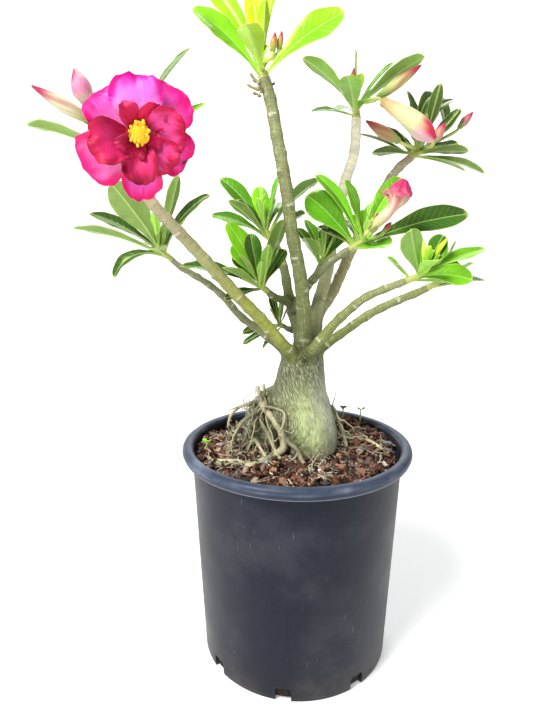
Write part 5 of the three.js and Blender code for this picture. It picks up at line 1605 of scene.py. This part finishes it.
def chip_template():
    """A block of 26 points on a 3 by 3 by 3 grid, without its middle, and its quads."""
    cells = [(i, j, k) for i in (-1, 0, 1) for j in (-1, 0, 1) for k in (-1, 0, 1) if (i, j, k) != (0, 0, 0)]
    number = {cell: n for n, cell in enumerate(cells)}
    quads = []
    for axis, side, a, b in np.ndindex(3, 2, 2, 2):
        corners = []
        for da, db in ((0, 0), (1, 0), (1, 1), (0, 1)):
            cell = [0, 0, 0]
            cell[axis], cell[(axis + 1) % 3], cell[(axis + 2) % 3] = 2 * side - 1, a + da - 1, b + db - 1
            corners.append(number[tuple(cell)])
        quads.append(corners if side == 1 else corners[::-1])
    return np.array(cells, float), np.array(quads)


def turning(rng, lean, count):
    """Random turns about +Z with a lean of about `lean` radians and some spin, as matrices."""
    angles = [rng.uniform(0, TAU, count), rng.normal(0, lean, count), rng.uniform(-0.5, 0.5, count)]
    matrices = []
    for turn, tilt, spin in zip(*angles):
        leaning = Matrix.Rotation(turn, 3, "Z") @ Matrix.Rotation(tilt, 3, "Y")
        matrices.append(np.array(leaning @ Matrix.Rotation(spin, 3, "X")))
    return np.array(matrices)


# Where the caudex and its lobe go into the soil: x, y and radius
TRUNK_IN_SOIL = ((12, -10, 21), (-27, 18, 20.5))


def in_trunk(x, y, margin):
    caudex, lobe = (np.hypot(x - at_x, y - at_y) < radius - margin for at_x, at_y, radius in TRUNK_IN_SOIL)
    return caudex | lobe


def chips_form(rng, count, longest, shortest, flat, lean, codes, raised):
    """Blocks with uneven corners, strewn over the soil; `flat` is the range of height to length."""
    template, quads = chip_template()
    radius = CHIP_SPREAD * np.sqrt(rng.random(count))
    angle = rng.uniform(0, TAU, count)
    x, y = radius * np.cos(angle), radius * np.sin(angle)
    length = shortest + (longest - shortest) * rng.random(count) ** 1.7
    keep = ~in_trunk(x, y, 2.0) & (radius + 0.42 * length < 89.2)
    x, y, length = x[keep], y[keep], length[keep]
    count = len(x)
    half = length / 2
    size = stacked(half, half * rng.uniform(0.18, 0.5, count), half * rng.uniform(*flat, count))
    blocks = template[None] * size[:, None]
    taper = rng.uniform(0, 0.55, count)[:, None]
    towards = rng.choice([-1, 1], count)[:, None]
    blocks[..., 1:] *= (1 - taper * (template[None, :, 0] * towards + 1) / 2)[..., None]
    blocks *= (1 - 0.10 * (np.linalg.norm(template, axis=1) - 1))[None, :, None]
    blocks += rng.normal(0, 0.13, blocks.shape) * size[:, None]
    placed = np.einsum("nij,npj->npi", turning(rng, lean, count), blocks)
    height = soil_height(x, y) + raised + rng.uniform(-1.2, 1.6, count) + 0.25 * size[:, 2]
    placed += stacked(x, y, height)[:, None]
    colours = np.array([colour(code) for code in codes])
    weights = np.linspace(1.6, 0.5, len(codes))
    picked = colours[rng.choice(len(codes), count, p=weights / weights.sum())]
    tint = np.repeat((picked * rng.uniform(0.25, 1.8, (count, 1)))[:, None], len(template), axis=1)
    grain = blocks + rng.uniform(0, 400, (count, 1, 3))
    faces = (quads[None] + len(template) * np.arange(count)[:, None, None]).reshape(-1, 4)
    return form(placed, [faces], tint.reshape(-1, 3), grain)


def fibres_form(rng, count):
    forms = []
    straw = [colour(code) for code in STRAW_COLOURS]
    for _ in range(count):
        radius, turn = FIBRE_SPREAD * math.sqrt(rng.random()), rng.uniform(0, TAU)
        x, y = radius * math.cos(turn), radius * math.sin(turn)
        if in_trunk(x, y, 0.0):
            continue
        way, length = rng.uniform(0, TAU), rng.uniform(6, 20)
        bend = rng.uniform(-0.5, 0.5)
        points = []
        for share in (-0.5, 0, 0.5):
            px = x + length * share * math.cos(way + bend * share)
            py = y + length * share * math.sin(way + bend * share)
            shrink = min(1, CHIP_SPREAD / math.hypot(px, py))
            points.append([px * shrink, py * shrink, soil_height(px, py) + rng.uniform(2.0, 5.0)])
        radii = rng.uniform(0.25, 0.7) * np.linspace(1, 0.6, 8)
        tint = straw[rng.integers(4)] * rng.uniform(0.6, 1.3)
        forms.append(tube(smooth_curve(points, 8), radii, 5, tint, 70.0))
    return joined(forms)


def soil_form():
    rng = np.random.default_rng(2024)
    return joined([
        soil_body(),
        chips_form(rng, 330, 16, 7, (0.14, 0.34), 0.5, BARK_COLOURS, 0.5),
        chips_form(rng, 1850, 9.5, 3.4, (0.14, 0.36), 0.75, BARK_COLOURS, 0.9),
        chips_form(rng, 1150, 5.5, 1.8, (0.2, 0.5), 0.9, BARK_COLOURS, 1.9),
        chips_form(rng, 110, 8, 1.8, (0.25, 0.6), 0.6, STONE_COLOURS, 2.2),
        fibres_form(rng, 300),
    ])


settle(make_piece("bark_filling", soil_form(), SOIL, smooth=False), "soil", "soil")


# Seedlings: each one's place on the soil, its height and lean, and its leaves as rows like the shoots'

SEEDLINGS = {
    "seedling_round_leaf": ([51, 70], 12, [-1, -3], [[-100, 50, 7, 7.5, 10, 0, 0.05]]),
    "seedling_sprout": ([65, 54], 14, [1, 2], [[10, 30, 4.5, 3, 10, 0, 0.1], [175, 35, 4, 3, 10, 0, 0.15]]),
    "seedling_green": ([-81, -6], 8, [3, -1], [[-60, 50, 6, 5, 10, 0, 0.8], [150, 40, 6, 5, 10, 0, 0.8]]),
}


def seedling_form(name):
    (x, y), height, lean, leaves = SEEDLINGS[name]
    rng = own_draws(name)
    ground = float(soil_height(x, y))
    top = np.array([x + lean[0], y + lean[1], ground + height])
    path = smooth_curve([[x, y, ground - 5], [x, y, ground], top], 18)
    skin = mix(colour("c9b48a"), leaf_colour(0.8), np.linspace(0, 1, 18))
    stem = tube(path, 0.7 * np.linspace(1.05, 0.85, 18), 10, skin)
    return joined([stem] + [leaf(top - [0, 0, 0.7], spec, k, rng) for k, spec in enumerate(leaves)])


for seedling_name in SEEDLINGS:
    settle(make_piece(f"{seedling_name}_plant", seedling_form(seedling_name), LEAF), "leaf", seedling_name)


# The stage: a pale sweep, soft lights and the camera, in metres

SENSOR_HEIGHT = 36.0
# The focal length and the photo's height, both in its pixels, and how far the camera looks down
FOCAL_PIXELS = 560
PHOTO_HEIGHT = 711
CAMERA_DIP = 12.5
# Each light: its name, place, size, energy, tint and what it is aimed at
LIGHTS = (
    ("key", (-0.9, -0.9, 1.5), 0.8, 46, (1.0, 0.98, 0.95), (0, 0, 0.3)),
    ("fill", (1.4, -0.9, 0.9), 1.2, 8, (0.95, 0.97, 1.0), (0, 0, 0.3)),
    ("back", (0.3, 1.4, 1.8), 1.4, 18, (1, 1, 1), (0, 0, 0.3)),
    ("wall_wash", (0, 2.6, 2.6), 3.0, 150, (1, 1, 1), (0, 5.6, 0.5)),
)


def sweep():
    """One sheet of pale paper that runs from in front of the pot and curves up behind it."""
    bend = [[4.6 + 1.4 * math.sin(a), 1.4 - 1.4 * math.cos(a)] for a in np.linspace(0, math.pi / 2, 24)]
    section = [[-3.0, 0.0], [0.0, 0.0], [3.0, 0.0]] + bend + [[6.0, 5.0]]
    points = [[x, y, z] for y, z in section for x in (-6.0, 0.0, 6.0)]
    mesh = bpy.data.meshes.new("pale_sweep")
    mesh.from_pydata(points, [], grid_faces(len(section), 3).tolist())
    mesh.polygons.foreach_set("use_smooth", np.ones(len(mesh.polygons), bool))
    mesh.materials.append(backdrop_material())
    added("pale_sweep", mesh)


def area_light(name, place, size, energy, tint, target):
    data = bpy.data.lights.new(name, "AREA")
    data.shape = "DISK"
    data.size = size
    data.energy = energy
    data.color = tint
    lamp = added(name, data)
    lamp.location = place
    lamp.rotation_euler = (Vector(target) - Vector(place)).to_track_quat("-Z", "Y").to_euler()


def set_world():
    world = bpy.data.worlds.new("soft_daylight")
    world.use_nodes = True
    shade = world.node_tree.nodes["Background"]
    shade.inputs["Color"].default_value = (0.96, 0.98, 1.0, 1.0)
    shade.inputs["Strength"].default_value = 0.21
    bpy.context.scene.world = world


def set_camera():
    data = bpy.data.cameras.new("photo_camera")
    data.sensor_fit = "VERTICAL"
    data.sensor_height = SENSOR_HEIGHT
    data.lens = SENSOR_HEIGHT * FOCAL_PIXELS / PHOTO_HEIGHT
    data.clip_end = 50
    camera = added("photo_camera", data)
    camera.location = (-0.0265, -0.468, 0.375)
    camera.rotation_euler = (math.radians(90 - CAMERA_DIP), 0, 0)
    bpy.context.scene.camera = camera


sweep()
set_world()
for light in LIGHTS:
    area_light(*light)
set_camera()
bpy.context.scene.view_settings.view_transform = "Standard"
